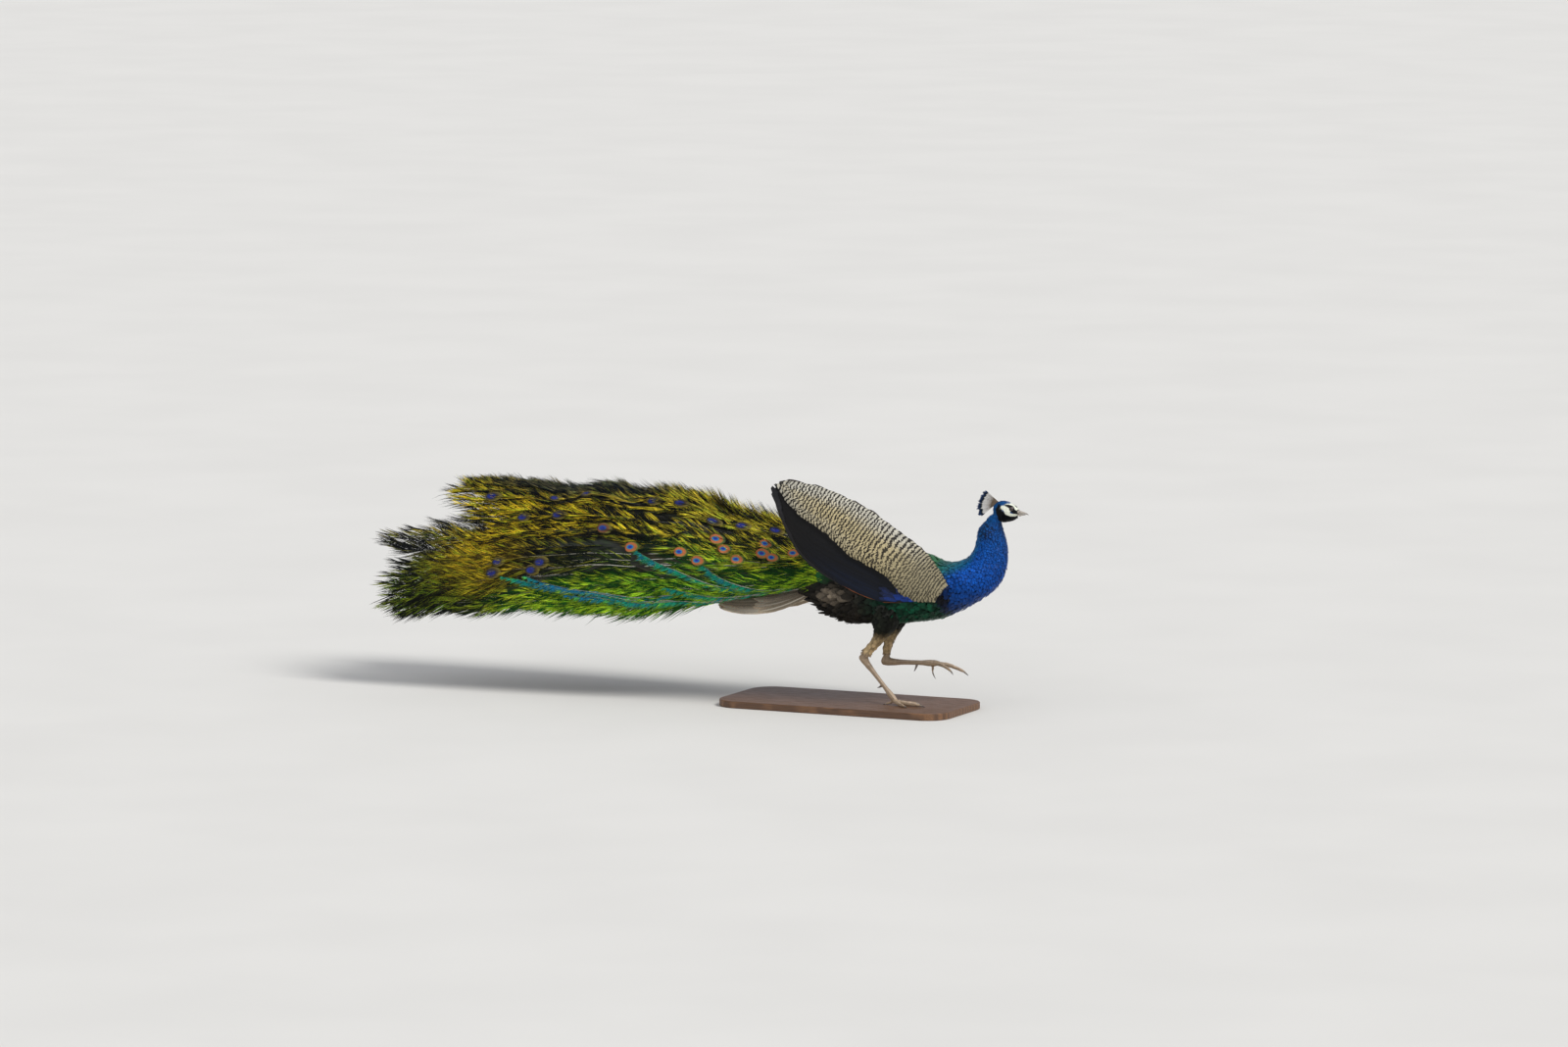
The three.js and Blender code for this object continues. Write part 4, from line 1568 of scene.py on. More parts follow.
@dataclass(frozen=True)
class BarredFinish:
    """Cream and black bars in chevrons, as on the folded wing's shield.

    The strands' marking holds how many bars lie between them and the shoulder, and their lot how
    strong the bars are.
    """

    name: str = "barred_feathers"
    chevron: float = 0.034 / MM  # turns by which a bar runs ahead at the vane's edge, for its width
    dark: Colour = paint(0x100E0D)

    def material(self) -> Material:
        """The finish as nodes.

        Returns:
            The material.
        """
        recipe = Recipe(self.name)
        across, along = recipe.vane()
        length, width, contrast = recipe.parts(recipe.attribute("Make"))
        tint, turns = recipe.tint()
        side = abs(across * 2 - 1)
        wobble = recipe.noise(24 * MM) * 0.7
        bars = (turns + side * width * self.chevron + wobble).wave()
        broken = recipe.noise(7 * MM, 1.0).step(0.25, 0.45)
        dark = bars.step(0.46, 0.64) * contrast * (0.7 + broken * 0.3)
        barb = ((along * length - side * width * 1.3) / (0.8 * MM)).wave()
        edge = side.step(0.7, 1.0) * 0.2
        light = (0.94 - barb * 0.14 - edge) + recipe.noise(9 * MM).step(0.3, 0.7) * 0.14
        return recipe.finish(
            Base_Color=recipe.scaled(recipe.mix(dark, tint, self.dark), light),
            Roughness=0.66 + barb * 0.1,
            Specular_IOR_Level=0.25,
            Normal=recipe.bump(1 - barb, 0.2 * MM, 0.5),
        )


@dataclass(frozen=True)
class Quill:
    """The outline of a feather: share of its length, and share of its half width there."""

    shares: tuple[float, ...]
    halves: tuple[float, ...]


COVERT = Quill((0.0, 0.25, 0.5, 0.72, 0.87, 0.96, 1.0), (0.35, 0.8, 1.0, 0.98, 0.78, 0.42, 0.0))
FLIGHT = Quill(
    (0.0, 0.12, 0.25, 0.4, 0.55, 0.7, 0.82, 0.91, 0.97, 1.0),
    (0.3, 0.6, 0.85, 1.0, 1.0, 0.97, 0.88, 0.68, 0.38, 0.0),
)


@dataclass
class Wing:
    """One folded wing: core, barred shield, blue greater coverts, flight feathers and lining."""

    solids: Solids
    side: Side
    rng: np.random.Generator
    thin: float = 0.35 * MM  # half the thickness of a flight feather
    cream: Colour = paint(0xBDB8A8)
    buff: Colour = paint(0xB5A67E)
    brown: Colour = paint(0x8E8468)
    bar: tuple[float, float] = (7.4 * MM, 9.4 * MM)  # between two bars, at shoulder and tip
    border: float = 7.0 * MM  # between the lines along the shield's lower edge
    secondaries: int = 15
    primaries: int = 9
    greater_coverts: int = 60
    readings: int = 60  # along and across the shield, of its bars

    def build(self) -> None:
        """Makes the wing's pieces."""
        self.blade = Blade(self.solids, self.side)
        self._core()
        line = {"pitch": 1.1 * MM, "shaft_share": 0.05}
        dark = VaneFinish("flight_feathers", 0.5, rim=0.55, shaft=paint(0x0A0A0C), specular=0.18, **line)
        blue = VaneFinish("covert_blue", 0.4, 0.3, rim=0.75)
        rust = VaneFinish("primary_feathers", 0.55, shaft=paint(0x3A2416), **line)
        self._piece("shield", COVERT, self._shield(), BarredFinish(), "wing_shield")
        self._piece("secondaries_dressed", FLIGHT, self._secondaries(), dark, "wing_dark")
        self._piece("greater_coverts", COVERT, self._greater_coverts(), blue, "wing_dark")
        self._piece("primaries_dressed", FLIGHT, self._primaries(), rust, "wing_rust")
        self.blade = Blade(self.solids, self.side, outer=False)
        brown = VaneFinish("lining_feathers", 0.6, 0.0, rim=0.5)
        self._piece("lining", COVERT, self._lining(), brown, "wing_dark")

    def _piece(
        self, name: str, quill: Quill, feathers: Strands, finish: VaneFinish | BarredFinish, slot: str
    ) -> None:
        """Makes one piece of the wing."""
        piece = Piece(f"wing_{name}_{self.side.word}", StrandShape(len(quill.shares), 8))
        piece.build([feathers], finish.material(), slot)

    def _core(self) -> None:
        """The wing's inside, a little within its solids: near-black for the inner feathers and for painted
        shade between the outer ones.
        """
        names = [f"wing_{layer.value}_{self.side.word}" for layer in Layer]
        mesh = mesh_of(f"wing_core_{self.side.word}", self.solids.merged(names, -1.5 * MM))
        recipe = Recipe("wing_core")
        tone = recipe.noise(6 * MM, 3.0).step(0.3, 0.7)
        # Near-black: the inner feathers, and painted shade in the gaps between the outer ones.
        shade = recipe.mix(tone, paint(0x09090B), paint(0x17141A))
        show(mesh, recipe.finish(Base_Color=shade, Roughness=0.75), names)

    def _laid(
        self,
        layer: Layer,
        quill: Quill,
        roots: Sequence[Array | float],
        sizes: Sequence[Array | float],
        shades: Array,
        strength: float = 1.0,
        lots: Array | None = None,
    ) -> Strands:
        """Feathers laid on the blade along a layer's outline.

        Args:
            layer: The layer whose outline they follow.
            quill: Their outline.
            roots: Reach, share of the layer's width, and how that share changes to the tip.
            sizes: Length, half width, height off the face at root and tip, and half thickness.
            shades: The colour of each.
            strength: Their marking.
            lots: A number of each one's own, at random if there are none.

        Returns:
            The feathers.
        """
        share, halves = np.array(quill.shares), np.array(quill.halves)
        count = len(shades)
        start, side, drift, length, half, low, high, depth = (
            np.broadcast_to(part, count)[:, None] for part in (*roots, *sizes)
        )
        reach = start + length * share
        across = side + drift * share**1.5
        height = self.blade.height(layer, reach, across)
        spine, normal = self.blade.place(reach, height, low * (1 - share) + high * share)
        return Strands(
            spine=spine,
            normal=normal,
            width=half * halves,
            depth=depth * np.maximum(halves, 0.25),
            tint=np.repeat(marked(shades, strength)[:, None], len(share), 1),
            root=self._bake_places(reach[:, 0], across[:, 0]),
            lot=self.rng.random(count) if lots is None else lots,
        )

    def _bake_places(self, reach: Array, across: Array) -> Array:
        """Places of the roots on the blade's own flat."""
        span = self.blade.reaches[-1] - self.blade.reaches[0]
        return np.stack([(reach - self.blade.reaches[0]) / span, 0.25 + 0.5 * across], -1)

    def _rows(self, first: tuple[float, float], last: tuple[float, float], step: float) -> Array:
        """Roots in staggered rows over the shield.

        Args:
            first: Length and half width of the first row's feathers.
            last: Those of the last row's.
            step: Distance between rows, as a share of a feather's length.

        Returns:
            Reach, share of width, length and half width, one row each.
        """
        start, stop = self.blade.span[Layer.COVERTS]
        reach, found, number = start - first[0] * 0.3, [], 0
        while reach < stop - last[0] * 0.75:
            share = max(0.0, (reach - start) / (stop - start))
            length, half = (near + (far - near) * share for near, far in zip(first, last, strict=True))
            middle = np.array([reach + length / 2] * 2)
            low, high = self.blade.height(Layer.COVERTS, middle, np.array([0.0, 1.0]))
            count = max(2, round((high - low) / (half * 1.05)))
            for place in range(count):
                across = (place + 0.3 + 0.4 * (number % 2)) / count
                found.append((reach + self.rng.normal(0, length * 0.06), across, length, half))
            reach += length * step
            number += 1
        return np.array(found)

    def _shield(self) -> Strands:
        """The barred scapulars, coverts and tertials.

        Returns:
            The feathers.
        """
        rows = self._rows((20 * MM, 5.5 * MM), (74 * MM, 10 * MM), 0.22)
        reach, across, length, half = rows.T
        start, stop = self.blade.span[Layer.COVERTS]
        share = np.clip((reach - start) / (stop - start), 0, 1)
        upper = ease(0.5, 0.95, across)
        lower = ease(0.3, 0.1, across) * ease(0.3, 0.6, share)
        pale = np.clip(upper + ease(0.6, 1.0, share) * 0.8 + 0.3 * lower, 0, 1) * ease(0.05, 0.3, share)
        shade = blend(blend(self.brown, self.buff, ease(0.05, 0.35, share)), self.cream, pale)
        shade *= self._shades(len(rows), 0.06)
        drift = (0.5 - across) * 0.05 + self.rng.normal(0, 0.008, len(rows))
        sizes = (length, half, 1.4 * MM, 4.6 * MM, 0.22 * MM)
        contrast = 0.80 + 0.17 * ease(0.05, 0.4, share + 0.3 * upper)
        laid = self._laid(Layer.COVERTS, COVERT, (reach, across, drift), sizes, shade, lots=contrast)
        laid.tint[..., 3] = self._bars(reach, across, drift, length)
        return laid

    def _bars(self, reach: Array, across: Array, drift: Array, length: Array) -> Array:
        """How many bars lie between the shoulder, or the lower edge, and each station.

        Args:
            reach: Places along the wing.
            across: Places across it.
            drift: How far the bars wander.
            length: Length of a bar.

        Returns:
            One number for each station.
        """
        start, stop = self.blade.span[Layer.COVERTS]
        ways = np.linspace(0, 1, self.readings)
        gaps = self.bar[0] + (self.bar[1] - self.bar[0]) * ease(0.0, 0.5, ways)
        turns = np.cumsum((stop - start) / (self.readings - 1) / gaps)
        share = np.array(COVERT.shares)
        along = (reach[:, None] + length[:, None] * share - start) / (stop - start)
        side = across[:, None] + drift[:, None] * share**1.5
        width = self.blade.height(Layer.COVERTS, reach, np.ones(len(reach)))
        width -= self.blade.height(Layer.COVERTS, reach, np.zeros(len(reach)))
        edge = np.cumsum(ease(0.42, 0.12, ways)) / self.readings
        lines = np.interp(side, ways, edge) * width[:, None] / self.border
        jitter = self.rng.normal(0, 0.1, (len(reach), 1))
        return np.interp(along, ways, turns) - lines * ease(0.2, 0.45, along) + jitter

    def _shades(self, count: int, spread: float) -> Array:
        """How light each feather is."""
        return np.exp(self.rng.normal(0, spread, (count, 1)))

    def _secondaries(self) -> Strands:
        """The blue-black secondaries, each a little below and in front of the next.

        Returns:
            The feathers.
        """
        count = self.secondaries
        across = np.linspace(1.0, 0.05, count)
        start, stop = self.blade.span[Layer.SECONDARIES]
        reach = start + np.linspace(0.10, 0.0, count) * (stop - start)
        tips = stop - (stop - start) * (0.23 * (1 - across) ** 1.4 - 0.012)
        length = tips - reach + self.rng.normal(0, 3 * MM, count)
        shade = blend(paint(0x0B1426), paint(0x0E0E10), ease(0.1, 0.6, across))
        shade *= self._shades(count, 0.16)
        order = np.linspace(2.2 * MM, 0.3 * MM, count)
        to_rear = 1.15 * across * (1 - across) * ease(0.08, 0.35, across)  # the tips end at the rear edge
        drift = self.rng.normal(0, 0.01, count) - to_rear
        sizes = (length, 12.5 * MM, order - 1.1 * MM, order + 0.2 * MM, self.thin)
        laid = self._laid(Layer.SECONDARIES, FLIGHT, (reach, across, drift), sizes, shade, 0.9)
        browner = ease(0.45, 0.95, np.array(FLIGHT.shares)) * np.ones((count, 1))
        laid.tint[..., :3] = blend(laid.tint[..., :3], paint(0x100E0E), browner)
        return laid

    def _greater_coverts(self) -> Strands:
        """The blue coverts over the front of the secondaries.

        Returns:
            The feathers.
        """
        start, stop = self.blade.span[Layer.SECONDARIES]
        count = self.greater_coverts
        share = self.rng.random(count) ** 1.2
        reach = start + 0.15 * share * (stop - start)
        across = 0.04 + 0.9 * self.rng.random(count) * (1 - 0.45 * share)
        darker = ease(0.25, 0.95, share + 0.2 * self.rng.random(count))
        shade = blend(paint(0x0A3C9A), paint(0x0A1A40), darker)
        # Painted glints: a few feathers painted bright blue.
        shade[self.rng.random(count) < 0.05] = paint(0x1468B8)
        shade *= self._shades(count, 0.3)
        roots = (reach, across, self.rng.normal(0, 0.02, count))
        sizes = ((26 + 16 * share) * MM, 5.5 * MM, 1.2 * MM, 3.4 * MM - share * 1.0 * MM, 0.2 * MM)
        return self._laid(Layer.SECONDARIES, COVERT, roots, sizes, shade, 0.8)

    def _primaries(self) -> Strands:
        """The chestnut primaries, of which only the edges show below the secondaries.

        Returns:
            The feathers.
        """
        across = np.linspace(0.6, 0.012, self.primaries)
        start, stop = self.blade.span[Layer.SECONDARIES]
        length = (stop - start) * (0.7 - 0.12 * (1 - across) ** 2)
        shade = blend(paint(0x9A5220), paint(0x3E2414), ease(0.1, 0.6, across))
        shade *= self._shades(self.primaries, 0.1)
        order = np.linspace(-2.4 * MM, -4.0 * MM, self.primaries)
        roots = (start + 0.03 * (stop - start), across, 0.0)
        sizes = (length, 7.6 * MM, order, order + 1.5 * MM, self.thin)
        return self._laid(Layer.SECONDARIES, FLIGHT, roots, sizes, shade, 0.6)

    def _lining(self) -> Strands:
        """The brown lining on the face towards the body.

        Returns:
            The feathers.
        """
        rows = self._rows((30 * MM, 9 * MM), (80 * MM, 14 * MM), 0.4)
        start, stop = self.blade.span[Layer.COVERTS]
        reach, across, length, half = rows[rows[:, 0] > start + 0.14 * (stop - start)].T
        shade = blend(paint(0x4A3B2C), paint(0x2A2624), self.rng.random(len(reach)))
        roots = (reach, across, self.rng.normal(0, 0.02, len(reach)))
        sizes = (length, half, -0.5 * MM, 1.8 * MM, 0.22 * MM)
        return self._laid(Layer.COVERTS, COVERT, roots, sizes, shade, 0.6)


# ---- Head, tail, feet and base ----


@dataclass(frozen=True)
class EyeFinish:
    """A wet dark eye: black pupil, brown iris and a darker rim, seen along the gaze."""

    name: str
    centre: tuple[float, float, float]
    gaze: tuple[float, float, float]
    radius: float

    def material(self) -> Material:
        """The finish as nodes.

        Returns:
            The material.
        """
        recipe = Recipe(self.name)
        away = recipe.node("VectorMath", {"operation": "SUBTRACT"}, {0: recipe.place(), 1: self.centre})
        gaze = tuple(part / self.radius for part in self.gaze)
        facing = recipe.node("VectorMath", {"operation": "DOT_PRODUCT"}, {0: away, 1: gaze}, "Value")
        fleck = recipe.noise(0.5 * MM, 2.0) * 0.06
        iris = recipe.mix((facing + fleck).step(0.62, 0.8), paint(0x120804), paint(0x45220F))
        shade = recipe.mix((facing + fleck * 0.3).step(0.86, 0.88), iris, paint(0x010101))
        return recipe.finish(Base_Color=shade, Roughness=0.12, Coat_Weight=1.0, Coat_Roughness=0.03)


@dataclass(frozen=True)
class HornFinish:
    """Bill and claws: streaked horn with the piece's own colours."""

    name: str
    grain: float = 0.5 * MM
    roughness: float = 0.38

    def material(self) -> Material:
        """The finish as nodes.

        Returns:
            The material.
        """
        recipe = Recipe(self.name)
        streak = recipe.noise(self.grain, 3.0, (7, 1, 1)).step(0.3, 0.7)
        light = 0.78 + streak * 0.22 + recipe.noise(3 * MM) * 0.12
        return recipe.finish(
            Base_Color=recipe.scaled(recipe.attribute("Tint"), light),
            Roughness=self.roughness + streak * 0.12,
            Coat_Weight=0.15,
            Normal=recipe.bump(streak, 0.12 * MM, 0.5),
        )


@dataclass
class Head:
    """Eyes with their lids, the two halves of the bill, and the crest."""

    solids: Solids
    rng: np.random.Generator
    lid: float = 0.9 * MM
    lid_seat: tuple[float, float] = (0.82, 0.5)  # from the eye's middle: round it and along the gaze
    gaze: tuple[float, float] = (0.22, 0.08)  # how far the eyes look ahead and up
    cell: float = 0.5 * MM
    # From the bill's base, below its ridge, and size.
    nostril: tuple[float, float, float] = (8.5 * MM, 3.4 * MM, 1.5 * MM)
    bill_height: float = 0.74  # of its solid's
    pale_horn: Colour = paint(0xA89E90)
    dark_horn: Colour = paint(0x5E554E)
    plumes: int = 24

    def build(self) -> None:
        """Makes the head's pieces."""
        for side in Side:
            self._eye(side)
        self._bill()
        self._crest()

    def _eye(self, side: Side) -> None:
        """An eyeball and the ring of its lids.

        Args:
            side: Left or right.
        """
        node = f"eye_{side.word}"
        low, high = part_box(node)
        centre, radius = (low + high) / 2, (high.z - low.z) / 2
        gaze = Vector((self.gaze[0], side.value, self.gaze[1])).normalized()
        ball = bmesh.new()
        size = {"u_segments": 40, "v_segments": 24, "radius": radius}
        bmesh.ops.create_uvsphere(ball, matrix=Matrix.Translation(centre), **size)
        finish = EyeFinish(node, tuple(centre), tuple(gaze), radius)
        show(mesh_of(f"eyeball_{side.word}", ball), finish.material(), [node])

        ring = bmesh.new()
        bmesh.ops.create_circle(ring, segments=10, radius=self.lid)
        upright = gaze.orthogonal().normalized()
        turn = Matrix((upright, gaze, upright.cross(gaze))).transposed()
        seat = centre + upright * (radius * self.lid_seat[0]) + gaze * (radius * self.lid_seat[1])
        bmesh.ops.rotate(ring, verts=ring.verts, matrix=turn)
        bmesh.ops.translate(ring, verts=ring.verts, vec=seat)
        around = {"cent": centre, "axis": gaze, "angle": math.tau, "steps": 40, "use_merge": True}
        bmesh.ops.spin(ring, geom=[*ring.verts, *ring.edges], **around)
        bmesh.ops.remove_doubles(ring, verts=ring.verts, dist=WELD)
        bmesh.ops.recalc_face_normals(ring, faces=ring.faces)
        recipe = Recipe("lid")
        grit = recipe.noise(0.7 * MM, 3.0)
        shade = recipe.mix(grit.step(0.4, 0.7), paint(0x0C0C0F), paint(0x2C2A2C))
        made = recipe.finish(Base_Color=shade, Roughness=0.5, Normal=recipe.bump(grit, 0.2 * MM))
        show(mesh_of(f"lid_{side.word}", ring), made)

    def _bill(self) -> None:
        """Both halves of the bill, with nostrils in the upper one."""
        finish = HornFinish("bill_horn").material()
        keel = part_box("bill_lower")[0].z
        for node in ("bill_upper", "bill_lower"):
            low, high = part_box(node)
            shape = remeshed(self.solids.merged([node]), self.cell)
            smoothed(shape, 0.5, 3)
            points = places_of(shape)
            pit = np.zeros(len(points))
            if node == "bill_upper":
                back, down, size = self.nostril
                ahead = (points[:, 0] - low.x - back) / (size * 1.9)
                above = (points[:, 2] - high.z + down + 0.3 * (points[:, 0] - low.x)) / size
                pit = np.exp(-(ahead**2 + above**2) * 1.4) * (np.abs(points[:, 1]) > 1.5 * MM)
            for vertex, depth in zip(shape.verts, pit, strict=True):
                vertex.co.y -= math.copysign(depth * 1.1 * MM, vertex.co.y)
                vertex.co.z = keel + (vertex.co.z - keel) * self.bill_height
            along = (points[:, 0] - low.x) / (high.x - low.x)
            shade = blend(self.pale_horn, self.dark_horn, ease(0.55, 1.0, along))
            # Painted shade: the nostril's pit painted near-black.
            shade = blend(shade, paint(0x14100E), ease(0.35, 0.8, pit))
            mesh = mesh_of(f"{node}_dressed", shape)
            set_tint(mesh, marked(shade))
            show(mesh, finish, [node])

    def _crest(self) -> None:
        """Bare shafts in a fan, each with a small spoon of a vane at its end."""
        count = self.plumes
        points = self.solids.points("crest")[:, [0, 2]]
        root = self.solids.end("crest", (1, 0, -0.2), 0.04)[[0, 2]] + (3 * MM, -1 * MM)
        away = points - root
        radii, turns = np.hypot(*away.T), np.degrees(np.arctan2(away[:, 1], away[:, 0])) % 360
        outer = radii > 0.75 * radii.max()
        angles = np.linspace(turns[outer].min(), turns[outer].max(), count)
        reach = np.array([radii[np.abs(turns - angle) < 5].max() for angle in angles])
        reach = reach * self.rng.uniform(1.0, 1.1, count)
        lean = self.rng.normal(0, 2.2 * MM, count)
        way = np.stack([np.cos(np.radians(angles)), np.sin(np.radians(angles))], 1)

        def spine(share: Array) -> Array:
            """Points along each shaft.

            Args:
                share: 0 at the root, 1 at the tip.

            Returns:
                One point for each share.
            """
            flat = root + way[:, None] * (reach[:, None] * share)[..., None]
            flat[..., 1] += (4 * MM * share * (1 - share)) * np.cos(np.radians(angles - 90))[:, None]
            start = (np.arange(count) / count - 0.5)[:, None] * -7 * MM * (1 - share)
            return np.stack([flat[..., 0] + start, lean[:, None] * share**1.5, flat[..., 1]], -1)

        twist = self.rng.normal(0, 0.5, count)
        normal = np.stack([np.sin(twist) * 0.3, np.cos(twist), np.sin(twist)], 1)
        lots = self.rng.random(count)
        roots = np.stack([0.1 + 0.8 * np.arange(count) / count, lots], 1)
        share = np.linspace(0.04, 0.86, 9)
        across = np.repeat(normal[:, None], len(share), 1)
        thick = np.broadcast_to((0.62 - 0.15 * share) * MM, (count, len(share)))
        tint = marked(blend(paint(0x7C6B58), paint(0x3E342C), share * np.ones((count, 1))))
        shafts = Strands(spine(share), across, thick, thick, tint, roots, lots)
        finish = BarbFinish("crest_shaft", 0.5, 0.0).material()
        piece = Piece("crest_shafts", StrandShape(len(share), 4), crisp=False)
        piece.build([shafts], finish, "crest_plumage", ["crest"])

        ways = np.linspace(0, 1, 8)
        outline = np.array([0.12, 0.5, 0.85, 1.0, 1.0, 0.85, 0.5, 0.0])
        across = np.repeat(normal[:, None], len(ways), 1)
        shade = rows_at([paint(0x0A2E34), paint(0x071A2E), paint(0x09305E), paint(0x0F4078)], ways)
        tint = marked(shade * np.exp(self.rng.normal(0, 0.2, (count, 1, 1))))
        wide = np.outer(self.rng.uniform(2.0, 3.2, count) * MM, outline)
        flat = np.full_like(wide, 0.18 * MM)
        vanes = Strands(spine(0.74 + 0.26 * ways), across, wide, flat, tint, roots, lots)
        finish = VaneFinish("crest_blue", 0.42, 0.3, 0.6 * MM, 1.0, 0.3).material()
        Piece("crest_vanes", StrandShape(len(ways), 6)).build([vanes], finish, "crest_plumage")


@dataclass
class Tail:
    """The true tail under the train: a tent of streaked grey-brown feathers."""

    solids: Solids
    rng: np.random.Generator
    count: int = 16
    half: float = 13 * MM
    # From root to tip: how far to the side and how far down the outermost feathers lie.
    spread: tuple[float, ...] = (44 * MM, 66 * MM, 76 * MM, 72 * MM, 56 * MM, 34 * MM)
    droop: tuple[float, ...] = (10 * MM, 34 * MM, 47 * MM, 40 * MM, 25 * MM, 12 * MM)
    # How much of the tail's length each layer reaches, and how high it lies, in mm.
    layers: tuple[tuple[float, float], ...] = ((1.0, -2.4), (0.94, -1.0), (0.6, 0.4))
    lift: float = 9 * MM  # of the ridge at its end, over the solid's
    bend: float = 1.7
    grey: tuple[int, int] = (0xF6E6CC, 0xBCA88C)

    def build(self) -> None:
        """Lays the feathers in three layers, shorter ones over longer."""
        low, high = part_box("tail")
        tree = self.solids.surface("tail")
        stations = np.linspace(low.x, high.x, 24)[3:-3]
        hits = [tree.ray_cast(Vector((x, 1.3 * MM, 1)), Vector((0, 0, -1)))[0] for x in stations]
        self.ridge = np.polyfit(*np.array([(hit.x, hit.z) for hit in hits if hit]).T, 1)
        self.front, self.back = high.x + 12 * MM, low.x
        share = np.array(FLIGHT.shares)
        lots = []
        for layer, (reach, lift) in enumerate(self.layers):
            fan = np.linspace(-1, 1, self.count) + self.rng.normal(0, 0.012, self.count)
            full = (self.front - self.back) * (reach - 0.08 * fan**2)
            full = full + self.rng.normal(0, 3 * MM, self.count)
            x = self.front - full[:, None] * share
            off = (lift + 1.6 * (1 - np.abs(fan[:, None]))) * MM + 0.8 * MM * share
            points, normal = self._place(x, fan[:, None] * (0.88 + 0.12 * share), off)
            shade = blend(*(paint(code) for code in self.grey), self.rng.random(self.count))[:, None]
            # Lighter towards the tips: pale tips, and painted light against the train's shadow.
            light = 0.8 + 0.2 * ease(0.1, 0.7, share) + 0.7 * ease(0.72, 0.95, share)
            lots.append(
                Strands(
                    spine=points,
                    normal=normal,
                    width=np.outer(self.rng.uniform(0.85, 1.1, self.count) * self.half, FLIGHT.halves),
                    depth=np.full(x.shape, 0.35 * MM),
                    tint=marked(shade * light[:, None]),
                    root=np.stack([np.full(self.count, 0.15 + 0.3 * layer), 0.5 + 0.45 * fan], 1),
                    lot=self.rng.random(self.count),
                )
            )
        finish = VaneFinish("tail_feather", 0.6, 0.0, 1.6 * MM, 2.6, 0.45, -0.45, paint(0xF2E8D2), 0.12)
        piece = Piece("tail_feathers", StrandShape(len(share), 8))
        piece.build(lots, finish.material(), "tail_plumage", ["tail"])

    def _place(self, x: Array, side: Array, off: Array) -> tuple[Array, Array]:
        """Points off the tent, -1 and 1 at its lower edges, and the tent's normals there.

        Args:
            x: Places along the tail.
            side: -1 to 1.
            off: Distances off the tent.

        Returns:
            Points and normals.
        """
        share = (self.front - x) / (self.front - self.back)
        steps = np.linspace(0, 1, len(self.spread))
        wide, fall = (np.polyval(np.polyfit(steps, rows, 3), share) for rows in (self.spread, self.droop))
        steep = self.bend * fall * np.abs(side) ** (self.bend - 1) * np.sign(side) / wide
        normal = unit(np.stack([np.zeros_like(x), steep, np.ones_like(x)], -1))
        height = np.polyval(self.ridge, x) + self.lift * share - fall * np.abs(side) ** self.bend
        return np.stack([x, side * wide, height], -1) + normal * off[..., None], normal


